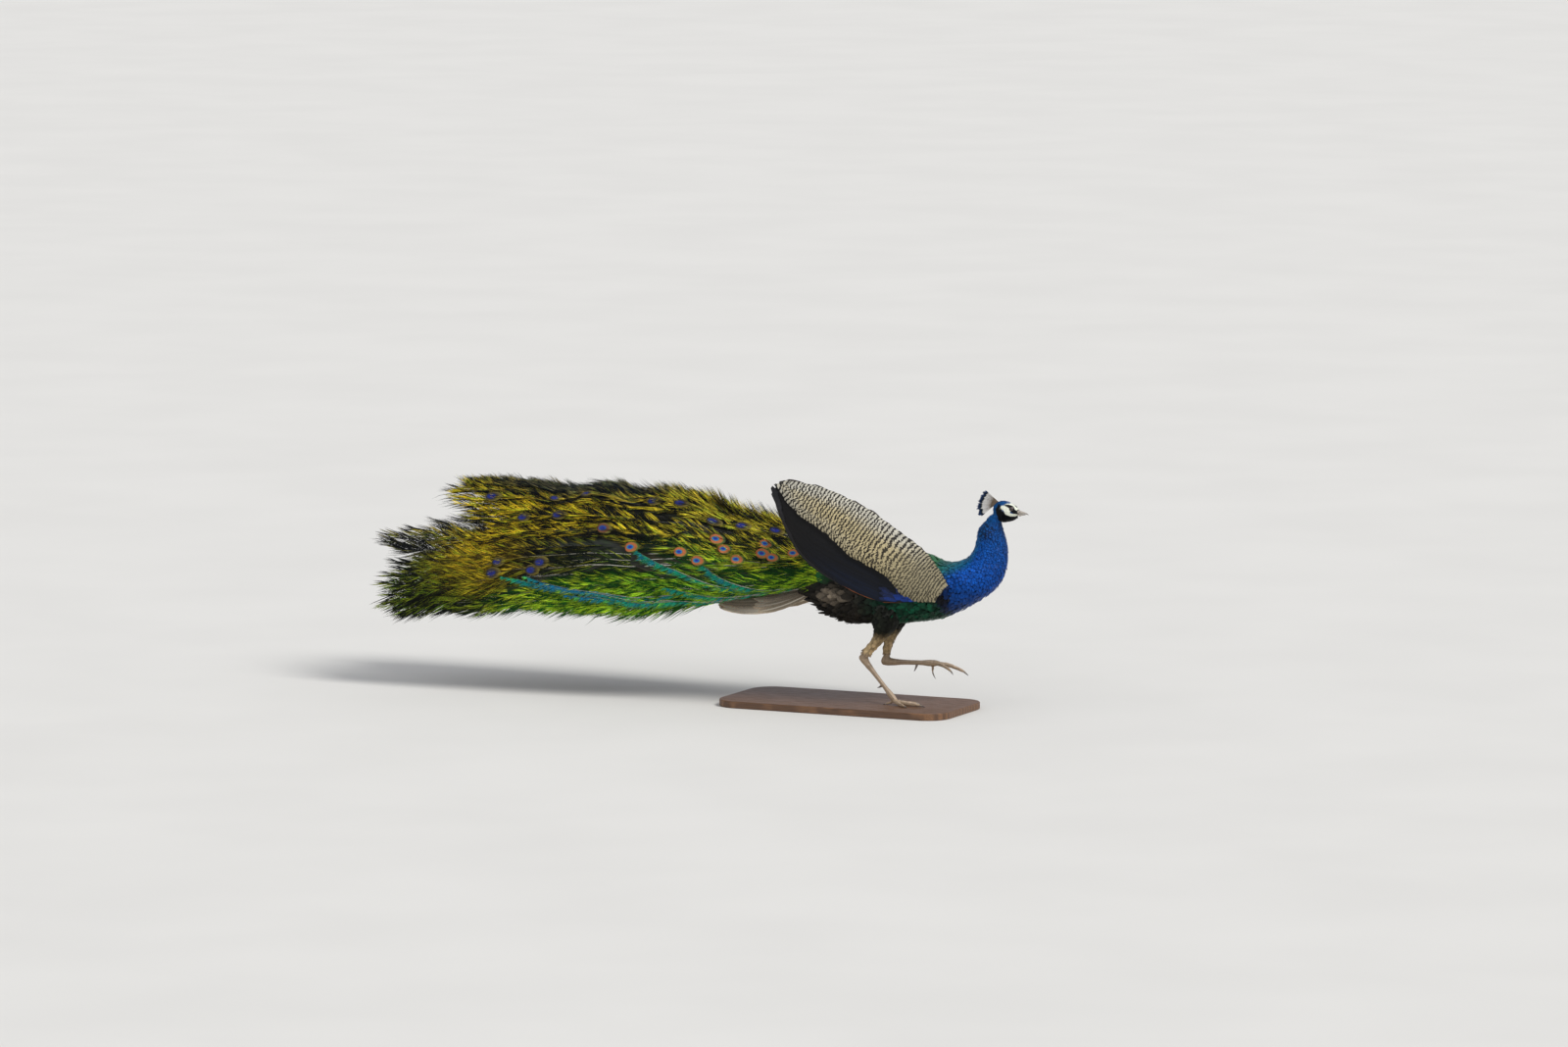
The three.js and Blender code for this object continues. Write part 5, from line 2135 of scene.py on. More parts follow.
@dataclass
class Feet:
    """Scutes over shanks and toes, claws and spurs."""

    solids: Solids
    rng: np.random.Generator
    plate: float = 4.6 * MM  # from one scute to the next
    ways: int = 7
    wrap: float = 76.0  # degrees that a scute reaches to each side
    thickest: float = 12 * MM  # of a shank, from its middle to a scute
    bare: float = 20 * MM  # how far round the hock there are no scutes
    front: tuple[float, float, float] = (0.55, 0.0, 0.83)  # the way that the scutes face
    cell: float = 0.45 * MM

    def build(self) -> None:
        """Makes the pieces of both feet."""
        plates = [self._scutes(name) for name in self.solids.starting("shank", "toe")]
        scaly = SkinFinish("scute_skin").material()
        Piece("scutes", StrandShape(self.ways, 4)).build(plates, scaly, "leg_skin")
        finish = HornFinish("claw_horn", 0.6 * MM).material()
        for name in self.solids.starting("claw", "spur"):
            self._claw(name, finish)

    def _scutes(self, name: str) -> Strands:
        """The plates over one shank or toe.

        Args:
            name: The shank or toe.

        Returns:
            The plates.
        """
        tree = self.solids.surface(name)
        points = self.solids.points(name)
        middle = points.mean(0)
        axis = np.linalg.svd(points - middle, full_matrices=False)[2][0]
        along = (points - middle) @ axis
        front = unit(self.front - axis * (np.array(self.front) @ axis))
        beside = np.cross(axis, front)
        gap = self.plate * (1.0 if name.startswith("shank") else 0.8)
        stops = np.arange(along.min() + gap * 2.2, along.max() - gap * 2.2, gap)
        stops = stops + self.rng.normal(0, gap * 0.04, len(stops))
        turns = np.radians(np.linspace(-self.wrap, self.wrap, self.ways))
        spines, normals = [], []
        for stop in stops:
            near = points[np.abs(along - stop) < 9 * MM]
            centre = near.mean(0) if len(near) > 5 else middle + axis * stop
            centre = centre + axis * (stop - (centre - middle) @ axis)
            ways = [unit(front * math.cos(turn) + beside * math.sin(turn)) for turn in turns]
            hits = [tree.ray_cast(Vector(centre + way * 0.04), Vector(-way), 0.08)[0] for way in ways]
            if None in hits or self.solids.from_hocks(centre[None])[0] < self.bare:
                continue
            if np.linalg.norm(np.array(hits) - centre, axis=1).max() < self.thickest:
                spines.append(np.array(hits) + np.array(ways) * 0.2 * MM)
                normals.append(ways)
        spine, normal = np.array(spines), np.array(normals)
        count = len(spine)
        outline = np.array([0.7, 0.95, 1.0, 1.0, 1.0, 0.9, 0.0])
        shade = np.full((count, self.ways, 3), paint(0xB8A188))
        shade *= np.exp(self.rng.normal(0, 0.1, (count, 1, 1)))
        return Strands(
            spine=spine,
            normal=normal,
            width=np.full((count, self.ways), gap * 0.52) * outline,
            depth=np.full((count, self.ways), 0.34 * MM),
            tint=marked(shade),
            root=np.stack([self.rng.random(count) * 0.9 + 0.05, self.rng.random(count) * 0.9 + 0.05], 1),
            lot=self.rng.random(count),
        )

    def _claw(self, name: str, finish: Material) -> None:
        """A claw or spur, rounded off.

        Args:
            name: The claw or spur.
            finish: Its material.
        """
        shape = remeshed(self.solids.merged([name]), self.cell)
        smoothed(shape, 0.5, 2)
        base = self.solids.middle(name.replace("claw", "toe").replace("spur", "shank"))
        away = np.linalg.norm(places_of(shape) - base, axis=1)
        shade = blend(paint(0x86786A), paint(0x2E2824), ease(away.min(), away.max(), away))
        mesh = mesh_of(f"{name}_dressed", shape)
        set_tint(mesh, marked(shade))
        show(mesh, finish, [name])


def stain_base(base: Object) -> None:
    """Gives the stand's base its stained wood.

    Args:
        base: The stand's base.
    """
    recipe = Recipe("stand_wood")
    bend = recipe.noise(90 * MM, 2.0) * 2.2
    _, wide, _ = recipe.parts(recipe.place())
    rings = (wide / (16 * MM) + bend).wave()
    pores = recipe.noise(1.6 * MM, 3.0, (26, 1, 1)).step(0.42, 0.66)
    shade = recipe.mix(rings.step(0.1, 0.95), paint(0x5B3F2A), paint(0x7A5638))
    shade = recipe.scaled(shade, 1 - pores * 0.35)
    bump = recipe.bump(1 - pores, 0.2 * MM)
    made = recipe.finish(Base_Color=shade, Roughness=0.42 + pores * 0.2, Normal=bump)
    base.data.materials.clear()
    base.data.materials.append(made)


# ---- Train ----


class Arch:
    """The train's outer face, as distances from an axis that runs under its ridge."""

    STEP = 20 * MM
    TURN = 3.0  # degrees between two readings round the axis
    WIDEST = 111.0
    FAR = 0.6
    DIPS = ((-0.79, 0.022, 0.075), (-0.60, 0.014, 0.05), (-0.33, 0.012, 0.06))  # X, depth, half length
    SAG = 0.032  # of the lowest lobe at its end

    def __init__(self, solids: Solids) -> None:
        """Reads the axis and the distances of the face from it.

        Args:
            solids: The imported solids.
        """
        names = solids.starting("train_")
        points = solids.points(*names)
        self.front, self.back = points[:, 0].max(), points[:, 0].min()
        self.stations = np.arange(self.front + 0.04, self.back - 0.06, -self.STEP)
        marks = np.linspace(self.front, self.back, 12)
        heights = [points[np.abs(points[:, 0] - mark) < 0.08, 2] for mark in marks]
        floor = np.minimum.accumulate([part.min() for part in heights])
        axis = floor + 0.14 * (np.array([part.max() for part in heights]) - floor)
        self.axis = np.interp(-self.stations, -marks, axis)
        self.angles = np.arange(-self.WIDEST, self.WIDEST + 1, self.TURN)
        found = self._cast(solids.surface(*names))
        self.radii = filled(found, 3) - self.dip(self.stations[:, None], self.angles)

    def _cast(self, tree: BVHTree) -> Array:
        """Distances of the outer face from the axis, nan where there is none.

        Args:
            tree: The surface.

        Returns:
            A grid of distances.
        """
        found = np.full((len(self.stations), len(self.angles)), np.nan)
        for i, (station, axis) in enumerate(zip(self.stations, self.axis, strict=True)):
            for j, angle in enumerate(np.radians(self.angles)):
                away = Vector((0.0, math.sin(angle), math.cos(angle)))
                start = Vector((station, 0.0, axis)) + away * self.FAR
                distance = tree.ray_cast(start, -away, self.FAR)[3]
                if distance is not None:
                    found[i, j] = self.FAR - distance
        return found

    def dip(self, x: Array, angle: Array) -> Array:
        """How far the ridge lies below its solids."""
        depth = sum(deep * np.exp(-(((x - middle) / half) ** 2)) for middle, deep, half in self.DIPS)
        return depth * ease(36, 10, np.abs(angle))

    def place(self, x: Array, angle: Array, off: Array | float) -> Array:
        """Points off the train's face.

        Args:
            x: Their X.
            angle: Degrees from the ridge, to the left positive.
            off: How far off the face.

        Returns:
            The points.
        """
        radius = self.radius(x, angle) + off
        turn = np.radians(angle)
        place = (self.front - x) / (self.front - self.back)
        sag = self.SAG * ease(0.72, 1.0, place) * ease(58, 80, np.abs(angle))
        return np.stack([x, radius * np.sin(turn), self.axis_at(x) + radius * np.cos(turn) - sag], -1)

    def axis_at(self, x: Array) -> Array:
        """Height of the axis."""
        return np.interp(-x, -self.stations, self.axis)

    def radius(self, x: Array, angle: Array) -> Array:
        """Distance of the face from the axis."""
        row = (self.stations[0] - x) / self.STEP
        return read_grid(self.radii, row, (angle + self.WIDEST) / self.TURN)

    @staticmethod
    def outward(angle: Array) -> Array:
        """Directions away from the axis."""
        turn = np.radians(angle)
        return np.stack([np.zeros_like(turn), np.sin(turn), np.cos(turn)], -1)

    def normal(self, x: Array, angle: Array) -> Array:
        """Directions straight off the face.

        Args:
            x: Places along the train.
            angle: Angles round its axis.

        Returns:
            One direction for each place.
        """
        along = self.place(x + 0.02, angle, 0.0) - self.place(x - 0.02, angle, 0.0)
        aside = self.place(x, angle + 2, 0.0) - self.place(x, angle - 2, 0.0)
        return unit(np.cross(along, aside))

    def find(self, points: Array) -> tuple[Array, Array]:
        """X and angle of some points."""
        height = points[..., 2] - self.axis_at(points[..., 0])
        return points[..., 0], np.degrees(np.arctan2(points[..., 1], height))


class PlumeKind(Enum):
    """The train's feathers: how far off the arch tips lie, in mm, and how long a part is barbed."""

    EYED = (1.5, 0.30)
    PLAIN = (-1.5, 0.34)
    FRAYED = (-2.0, 0.36)
    FISHTAIL = (4.0, 9.0)


@dataclass
class Plumes:
    """Train feathers of one kind, as arrays with one row for each."""

    kind: PlumeKind
    start: Array  # X of the root
    end: Array  # X of the tip
    angles: Array  # degrees round the arch at root, middle and tip
    lot: Array  # a number of each one's own

    def at(self, number: Array, share: Array) -> tuple[Array, Array]:
        """X and angle of points along some feathers.

        Args:
            number: The feathers' numbers.
            share: Shares of their length, one row for each number.

        Returns:
            X and angle, of share's shape.
        """
        first, middle, last = self.angles[number].T[..., None]
        bend = first * (1 - share) * (1 - 2 * share) + middle * 4 * share * (1 - share)
        lot = self.lot[number][:, None]
        wave = 1.1 * np.sin(share * (5 + 4 * lot) + lot * 40) * share * (1 - share)
        x = self.start[number][:, None] * (1 - share) + self.end[number][:, None] * share
        return x, bend + last * share * (2 * share - 1) + wave


@dataclass
class Barbs(Rows):
    """The train's barbs before they are laid on the arch."""

    number: Array  # of the feather
    side: Array  # of its shaft, -1 or 1
    share: Array  # place along the feather
    order: Array  # place from its tip, 0 to 1 over the barbed part
    x: Array  # of the root
    angle: Array  # of the root, in degrees round the arch
    place: Array  # of the root along the train
    cling: Array  # three numbers that it shares with the barbs next to it
    strayed: Array  # how far along the shaft it is from the middle of those barbs
    slant: Array  # from the shaft
    length: Array


@dataclass(frozen=True)
class Zone:
    """A part of the train with its own colours: two tones that its barbs take turns with."""

    share: float  # place along the train
    turn: float  # place round it, in degrees from the ridge
    reach: float  # how far it extends along
    width: float  # and round
    # The barbs' darker tone, which also paints the shade between their clumps.
    deep: int
    bright: int
    bright_share: float

    def weight(self, share: Array, turn: Array) -> Array:
        """How strongly it colours some places."""
        away = ((share - self.share) / self.reach) ** 2 + ((turn - self.turn) / self.width) ** 2
        return np.exp(-(away**1.5))


@dataclass(frozen=True)
class OcellusFinish:
    """The eyes of the train: a blue heart in turquoise, a copper ring and gold-green rims."""

    name: str = "train_eye"
    rings: tuple[tuple[float, int], ...] = (
        (0.0, 0x0A1F86),
        (0.20, 0x0C28A0),
        (0.30, 0x0B62B0),
        (0.40, 0x158C92),
        (0.47, 0x8A5A2C),
        (0.58, 0xBE683A),
        (0.82, 0xB06030),
        (0.92, 0x8F7A1E),
        (1.0, 0x3C5218),
    )
    dull: tuple[tuple[float, int], ...] = (
        (0.0, 0x071468),
        (0.36, 0x0A1C84),
        (0.48, 0x0A2A62),
        (0.58, 0x1E1A22),
        (0.76, 0x4A3A14),
        (1.0, 0x6E6218),
    )

    def material(self) -> Material:
        """The finish as nodes.

        Returns:
            The material.
        """
        recipe = Recipe(self.name)
        across, along = recipe.vane()
        lot = recipe.parts(recipe.attribute("Make"))[2]
        ahead = along * 2 - 1
        side = across * 2 - 1
        heart = ahead - 0.26  # the rings are not about one centre
        radius = (side * side * (1 - ahead * ahead) + heart * heart) ** 0.5
        radius = radius + recipe.noise(3 * MM) * 0.16 - 0.08
        copper, dull = (recipe.ramp(radius, rings) for rings in (self.rings, self.dull))
        shade = recipe.mix(recipe.parts(recipe.attribute("Tint"))[0], dull, copper)
        barb = ((ahead * 9) + abs(side) * 5 + lot * 3).wave()
        return recipe.finish(
            Base_Color=recipe.scaled(shade, (0.9 - barb * 0.2) * (0.85 + lot * 0.3)),
            Roughness=0.36 + barb * 0.1,
            Metallic=0.35,
            Normal=recipe.bump(1 - barb, 0.3 * MM, 0.6),
        )


@dataclass
class Train:
    """The long upper tail coverts: shafts, loose barbs and eyes over a thin dark core."""

    solids: Solids
    rng: np.random.Generator
    # Eyes on the right side: place along the train, and degrees from the ridge.
    eyes: tuple[tuple[float, float], ...] = (
        (0.04, 40), (0.08, 48), (0.09, 17), (0.10, 34), (0.10, 45), (0.15, 54), (0.16, 21),
        (0.18, 46), (0.20, 39), (0.22, 24), (0.23, 60), (0.27, 55), (0.30, 17), (0.36, 18),
        (0.38, 51), (0.45, 40), (0.52, 15), (0.56, 31), (0.58, 62), (0.59, 16), (0.60, 67),
        (0.64, 32), (0.68, 58), (0.69, 65), (0.73, 17),
    )  # fmt: skip
    # Fish-tail feathers: where each starts and ends, and degrees at root, middle and tip.
    fishtails: tuple[tuple[float, float, float, float, float], ...] = (
        (0.02, 0.62, 88, 95, 71),
        (0.03, 0.67, 80, 91, 69),
        (0.03, 0.23, 90, 82, 60),
        (0.10, 0.375, 86, 75, 52),
        (0.02, 0.42, 93, 98, 92),
        (0.04, 0.52, 90, 97, 88),
        (0.02, 0.30, 84, 92, 84),
    )
    zones: tuple[Zone, ...] = (
        Zone(0.52, 0, 0.17, 13, 0x06141F, 0x123E58, 0.45),
        Zone(0.14, 78, 0.28, 24, 0x17560F, 0x9CD62A, 0.50),
        Zone(0.40, 95, 0.24, 16, 0x1C6414, 0xA8DC2E, 0.55),
        # Near-black barbs where the train parts at its middle: painted shade of the parting.
        Zone(0.49, 60, 0.19, 14, 0x060904, 0x33471A, 0.20),
        Zone(0.71, 59, 0.085, 13, 0x6A5208, 0xFFD028, 0.74),
        Zone(0.63, 30, 0.15, 15, 0x100F05, 0xFFD826, 0.42),
        Zone(0.12, 28, 0.16, 24, 0x141508, 0xECD63E, 0.44),
        Zone(0.86, 86, 0.20, 32, 0x0A1206, 0x5E8C1E, 0.36),
        Zone(0.91, 46, 0.12, 10, 0x0C1012, 0x5A6048, 0.30),
    )
    # The outline of the train's end: degrees from the ridge, and how far the feathers reach there.
    lobes: tuple[tuple[float, float], ...] = (
        (0, 0.81), (9, 0.85), (17, 0.84), (24, 0.78), (33, 0.745), (39, 0.725), (42, 0.90),
        (46, 0.955), (52, 0.955), (57, 0.90), (61, 0.935), (68, 0.955), (76, 0.945), (84, 0.89),
        (90, 0.76), (96, 0.58), (101, 0.48), (106, 0.40),
    )  # fmt: skip
    # Near-black and gold for plain barbs; the near-black also paints the shade between clumps.
    plain: tuple[int, int] = (0x070A04, 0xFFDE30)
    plain_share: float = 0.33
    # The tail shows below this line: X and Z of its bends.
    tail_line: tuple[tuple[float, float], ...] = (
        (-0.385, 0.250), (-0.25, 0.281), (-0.17, 0.295), (-0.08, 0.300),
    )  # fmt: skip
    core_inset: float = 2.6 * MM
    ridge_inset: float = 9 * MM
    core_end: float = 0.68  # of the train's length
    core_edge: float = 80.0  # degrees past which the core is drawn in
    disc: tuple[float, float] = (22 * MM, 15 * MM)  # half length and half width of an eye
    ridge_eyes: int = 7
    plain_plumes: int = 170
    frayed_plumes: int = 90
    short_plumes: int = 40
    edge: float = 101.0  # degrees from the ridge to the lowest plain feathers
    shaft: Colour = paint(0xDAD8CC)
    shaft_tip: Colour = paint(0x8E8668)
    clump: float = 17 * MM  # length of shaft whose barbs cling together
    clumps: int = 4096  # how many of them differ
    stations: tuple[float, ...] = (0.0, 0.34, 0.68, 1.0)  # of a barb
    barb_gap: float = 3.3 * MM
    fish_gap: float = 1.7 * MM  # on the fish-tail feathers
    crowd: int = 12000  # barbs in one piece at most

    def build(self) -> None:
        """Makes the train's pieces."""
        self.arch = Arch(self.solids)
        self.length = self.arch.front - self.arch.back
        flocks = self._flocks()
        self._core()
        self._shafts(flocks)
        self._barbs(flocks)
        self._eye_discs(flocks[0])

    def _x(self, share: Array) -> Array:
        """X of places along the train."""
        return self.arch.front - np.asarray(share) * self.length

    def _share(self, x: Array) -> Array:
        """Places along the train."""
        return (self.arch.front - x) / self.length

    def _core(self) -> None:
        """A thin dark sheet inside the train's solids, which closes the gaps between barbs: dark olive for
        the feathers beneath, with near-black streaks of painted shade.
        """
        names = self.solids.starting("train_")
        shape = self.solids.merged(names, -self.core_inset)
        whole = [*shape.verts, *shape.edges, *shape.faces]
        cut = {"plane_co": (float(self._x(self.core_end)), 0, 0), "plane_no": (-1, 0, 0)}
        bmesh.ops.bisect_plane(shape, geom=whole, clear_outer=True, **cut)
        bmesh.ops.holes_fill(shape, edges=[edge for edge in shape.edges if edge.is_boundary])
        self._draw_in(shape)
        bmesh.ops.triangulate(shape, faces=shape.faces)
        recipe = Recipe("train_core")
        # Dark olive for the feathers beneath; the near-black streaks are painted shade between barbs.
        streak = recipe.noise(5 * MM, 3.0, (9, 1, 1)).step(0.35, 0.7)
        patch = recipe.noise(70 * MM).step(0.4, 0.65)
        shade = recipe.mix(patch, paint(0x1C2A0E), paint(0x3A3410))
        shade = recipe.mix(streak, paint(0x0B0E07), shade)
        made = recipe.finish(Base_Color=shade, Roughness=0.7, Normal=recipe.bump(streak, 1.5 * MM))
        show(mesh_of("train_core", shape), made, names)

    def _draw_in(self, shape: BMesh) -> None:
        """Draws the core's lower edges up under the feathers.

        Args:
            shape: Changed in place.
        """
        points = places_of(shape)
        x, angle = self.arch.find(points)
        turn = np.abs(angle)
        drawn = np.minimum(turn, self.core_edge + (turn - self.core_edge) * 0.1) * np.sign(angle)
        axis = self.arch.axis_at(x)
        radius = np.hypot(points[:, 1], points[:, 2] - axis) - self.arch.dip(x, angle)
        radius -= self.ridge_inset * ease(40, 14, turn)
        points[:, 1] = radius * np.sin(np.radians(drawn))
        points[:, 2] = axis + radius * np.cos(np.radians(drawn))
        for vertex, point in zip(shape.verts, points, strict=True):
            vertex.co = point

    def _lobe(self, angle: Array) -> Array:
        """How far along the train its feathers reach at these angles."""
        turns, ends = np.array(self.lobes).T
        return np.interp(np.abs(angle), turns, ends)

    def _flocks(self) -> list[Plumes]:
        """All feathers of the train, the eyed ones first.

        Returns:
            One flock for each kind.
        """
        rng = self.rng
        near = np.array(self.eyes) * (1, -1)
        far = near * (1, -1) + rng.normal(0, 1, near.shape) * (0.02, 2.5)
        count = self.ridge_eyes
        ridge = np.stack([rng.uniform(0.08, 0.66, count), rng.uniform(-7, 9, count)], 1)
        share, angle = np.concatenate([near, far, ridge]).T
        found = [self._flock(PlumeKind.EYED, share, angle)]

        count, edge = self.plain_plumes, self.edge
        share = 0.05 + 0.9 * (np.arange(count) + rng.random(count)) / count
        angle = rng.permutation(np.linspace(-edge, edge, count)) + rng.normal(0, 1.5, count)
        bare = (np.abs(np.abs(angle) - 66) < 8) & (share > 0.3) & (share < 0.6)  # the dark patch
        share, angle = share[~bare], angle[~bare]
        share = np.minimum(share, self._lobe(angle) - 0.05 * rng.random(len(angle)))
        found.append(self._flock(PlumeKind.PLAIN, share, angle))

        count = self.frayed_plumes
        angle = np.linspace(-edge, edge, count) + rng.normal(0, 0.8, count)
        share = self._lobe(angle) - 0.04 * rng.random(count)
        frayed = self._flock(PlumeKind.FRAYED, share, angle)
        middle = np.abs(np.abs(angle) - 47) < 6  # the middle lobe turns up
        frayed.angles[:, 2] -= np.sign(angle) * middle * 9

        count = self.short_plumes  # these start on the rump
        short = rng.permutation(np.linspace(-96, 96, count)) + rng.normal(0, 2, count)
        ends, starts = self._x(0.09 * rng.random(count)), self._x(np.full(count, -0.085))
        angles = short[:, None] * (0.92, 0.96, 1.0)
        found.append(Plumes(PlumeKind.PLAIN, starts, ends, angles, rng.random(count)))
        found.append(frayed)

        near, far = np.array(self.fishtails), np.array(self.fishtails)
        near[:, 2:] *= -1
        far[:, :2] += rng.normal(0, 0.02, (len(far), 2))
        far[:, 2:] += rng.normal(0, 1.5, (len(far), 1))
        rows = np.concatenate([near, far])
        starts, ends = self._x(rows[:, 0]), self._x(rows[:, 1])
        found.append(Plumes(PlumeKind.FISHTAIL, starts, ends, rows[:, 2:], rng.random(len(rows))))
        return found

    def _flock(self, kind: PlumeKind, share: Array, angle: Array) -> Plumes:
        """Feathers that run to tips at these places.

        Args:
            kind: The kind of feather.
            share: Where each tip is along the train.
            angle: Where each tip is round its axis.

        Returns:
            The feathers.
        """
        count = len(share)
        root = np.minimum(0.05 * self.rng.random(count), share * 0.4)
        turn = self.rng.normal(0, 2.0, (count, 2)) * (1, 0.5)
        angles = np.stack([angle * 0.92 + turn[:, 0], angle * 0.98 + turn[:, 1], angle], 1)
        if kind is not PlumeKind.EYED:
            root = np.maximum(root, share - 0.45)
        return Plumes(kind, self._x(root), self._x(share), angles, self.rng.random(count))

    def _lie(self, flock: Plumes, number: Array, share: Array) -> Array:
        """How far feathers lie off the arch: the longer they are, the deeper they start."""
        length = (flock.start - flock.end)[number][:, None] / self.length
        return (flock.kind.value[0] - (4 + 6 * length) * (1 - share)) * MM

    def _shafts(self, flocks: Sequence[Plumes]) -> None:
        """The pale shafts.

        Args:
            flocks: All feathers of the train.
        """
        share = np.linspace(0, 1, 14)
        lots = []
        for flock in flocks:
            number = np.arange(len(flock.lot))
            spread = np.broadcast_to(share, (len(number), len(share)))
            x, angle = flock.at(number, spread)
            place = self._share(x)
            thick = (1.15 - 0.75 * share) * MM * np.ones((len(number), 1))
            dark = ease(58, 48, np.abs(angle)) * ease(0.05, 0.2, place)
            dark = np.maximum(dark, ease(0.03, -0.03, place))
            if flock.kind is PlumeKind.FISHTAIL:
                dark = np.maximum(dark, 0.5)
            shade = blend(self.shaft, self.shaft_tip, ease(0.5, 1.0, share))
            light = 1 - 0.86 * np.maximum(dark, ease(0.7, 0.85, place))
            sunk = 10 * MM * ease(0.06, 0.0, place)  # the roots are under the rump's feathers
            points = self.arch.place(x, angle, self._lie(flock, number, spread) + 0.8 * MM - sunk)
            points[..., 2] = np.maximum(points[..., 2], self._floor_at(points[..., 0]) + 2 * MM)
            lots.append(
                Strands(
                    spine=points,
                    normal=self.arch.outward(angle),
                    width=thick,
                    depth=thick,
                    tint=marked(shade * light[..., None]),
                    root=self._bake_places(x[:, -1], angle[:, -1]),
                    lot=flock.lot,
                )
            )
        piece = Piece("train_shafts", StrandShape(len(share), 4), crisp=False)
        piece.build(lots, BarbFinish("train_shaft", 0.4, 0.0).material(), "train_plumage")

    def _bake_places(self, x: Array, angle: Array) -> Array:
        """Places on the arch's own flat."""
        return np.stack([0.02 + 0.96 * self._share(x), 0.5 + 0.48 * angle / Arch.WIDEST], -1)

    def _barbs(self, flocks: Sequence[Plumes]) -> None:
        """All barbs, split by angle into pieces of a fair size.

        Args:
            flocks: All feathers of the train.
        """
        barbs = Strands.joined([self._combed(flock) for flock in flocks])
        order = np.argsort(barbs.root[:, 1], kind="stable")
        finish = BarbFinish("train_barbs").material()
        shape = StrandShape(len(self.stations), 3)
        for number, chosen in enumerate(np.array_split(order, math.ceil(len(order) / self.crowd)), 1):
            piece = Piece(f"train_barbs_{number}", shape, crisp=False)
            piece.build([barbs.chosen(chosen)], finish, "train_plumage")

    def _planted(self, flock: Plumes) -> Barbs:
        """Where the barbs of one kind of feather grow, how long they are and how they slant.

        Args:
            flock: The feathers.

        Returns:
            Their barbs.
        """
        kind, rng = flock.kind, self.rng
        fish = kind is PlumeKind.FISHTAIL
        lengths = flock.start - flock.end
        vaned = np.minimum(kind.value[1], lengths * 0.96)
        counts = np.maximum((vaned / (self.fish_gap if fish else self.barb_gap)).astype(int), 8)
        number = np.repeat(np.arange(len(lengths)), counts * 2)
        order = np.concatenate([np.arange(count * 2) // 2 / count for count in counts])
        side = np.concatenate([np.tile((-1.0, 1.0), count) for count in counts])
        share = 1 - order * (vaned / lengths)[number]
        total = len(number)
        reach = order * vaned[number]
        clump = np.floor(reach / self.clump + flock.lot[number] + side * 0.25)
        strayed = reach - (clump + 0.5 - flock.lot[number] - side * 0.25) * self.clump
        key = ((number * 2 + (side > 0)) * 97 + clump.astype(int)) % self.clumps
        cling = rng.random((self.clumps, 3))[key]
        x, angle = (part[:, 0] for part in flock.at(number, share[:, None]))
        place, turn = self._share(x), np.abs(angle)
        upward = side * -np.sign(angle) > 0  # towards the ridge

        low = ease(45, 78, turn)
        slant = np.where(upward, 36 - 14 * low, 13 + 17 * low)
        slant = slant * (1 - 0.45 * ease(0.82, 1.0, share)) + rng.normal(0, 5, total)
        slant = slant + (cling[:, 1] - 0.5) * 13
        length = (36 + 34 * ease(0.0, 0.45, order) - 8 * ease(0.6, 1.0, order)) * MM
        if kind is PlumeKind.FRAYED:
            length = (48 + 28 * ease(0.0, 0.4, order)) * MM
            slant = slant * (0.6 + 0.4 * ease(0.0, 0.5, order))
        if fish:
            keep = ~upward | (rng.random(total) < 0.3)
            length = np.where(upward, 10, 24) * MM * np.sqrt(np.clip(order * 9, 0.2, 1))
            slant = np.where(upward, 18, 30) + rng.normal(0, 4, total) + (cling[:, 1] - 0.5) * 10
            length = length * rng.uniform(0.7, 1.25, total)
        else:
            gappy = (place > 0.33) & (place < 0.6) & (np.abs(turn - 63) < 9)  # the dark patch
            keep = ~gappy | (rng.random(total) < 0.3)
            length = length * rng.uniform(0.8, 1.1, total) * (0.75 + 0.5 * cling[:, 0])
        slant = np.radians(slant)
        barbs = Barbs(number, side, share, order, x, angle, place, cling, strayed, slant, length)
        return barbs.chosen(keep)

    def _combed(self, flock: Plumes) -> Strands:
        """The barbs of one kind of feather, laid on the arch.

        Args:
            flock: The feathers.

        Returns:
            Their barbs.
        """
        fish, rng, along = flock.kind is PlumeKind.FISHTAIL, self.rng, np.array(self.stations)
        barbs = self._planted(flock)
        total, place, turn = len(barbs.number), barbs.place, np.abs(barbs.angle)
        slant, length, cling = barbs.slant[:, None], barbs.length[:, None], barbs.cling[:, 2:]
        wind = np.sin(flock.lot[barbs.number] * 50 + barbs.share * 22)[:, None]
        aside = length * (np.sin(slant) * (along - 0.28 * along**2) + 0.05 * wind * along**2)
        back = length * (np.cos(slant) * along + 0.1 * along**2)
        x = barbs.x[:, None] - back - barbs.strayed[:, None] * 0.86 * along**1.3
        radius = self.arch.radius(barbs.x, barbs.angle)[:, None]
        angle = barbs.angle[:, None] + np.degrees(barbs.side[:, None] * aside / radius)
        ragged = rng.normal(0, 1, (total, 1))
        rise = (1.5 if fish else 5.0) * MM * (0.5 + 0.5 * rng.random((total, 1)))
        off = self._lie(flock, barbs.number, barbs.share[:, None])
        off = off + rise * along**1.2 + ragged * 1.6 * MM * along**2
        if not fish:
            ridge = ease(18, 2, turn)[:, None] * (0.6 + 0.6 * ease(0.42, 0.3, place))[:, None]
            tufts = rng.random(64)[(place * 34).astype(int) % 64][:, None] ** 2
            raised = ridge * (cling * 16 + rng.random((total, 1)) * 6 + tufts * 20)
            off = off + (raised + cling * 4) * MM * along**1.5
        points = self.arch.place(x, angle, off)
        droop = ease(0.72, 0.95, place) * (ease(50, 85, turn) * 24 - 4) + ease(80, 97, turn) * 5
        points[..., 2] -= droop[:, None] * MM * along**1.7 * (0.4 + 0.8 * rng.random((total, 1)))
        half = (1.0 if fish else 0.92) * MM * rng.uniform(0.75, 1.25, (total, 1))
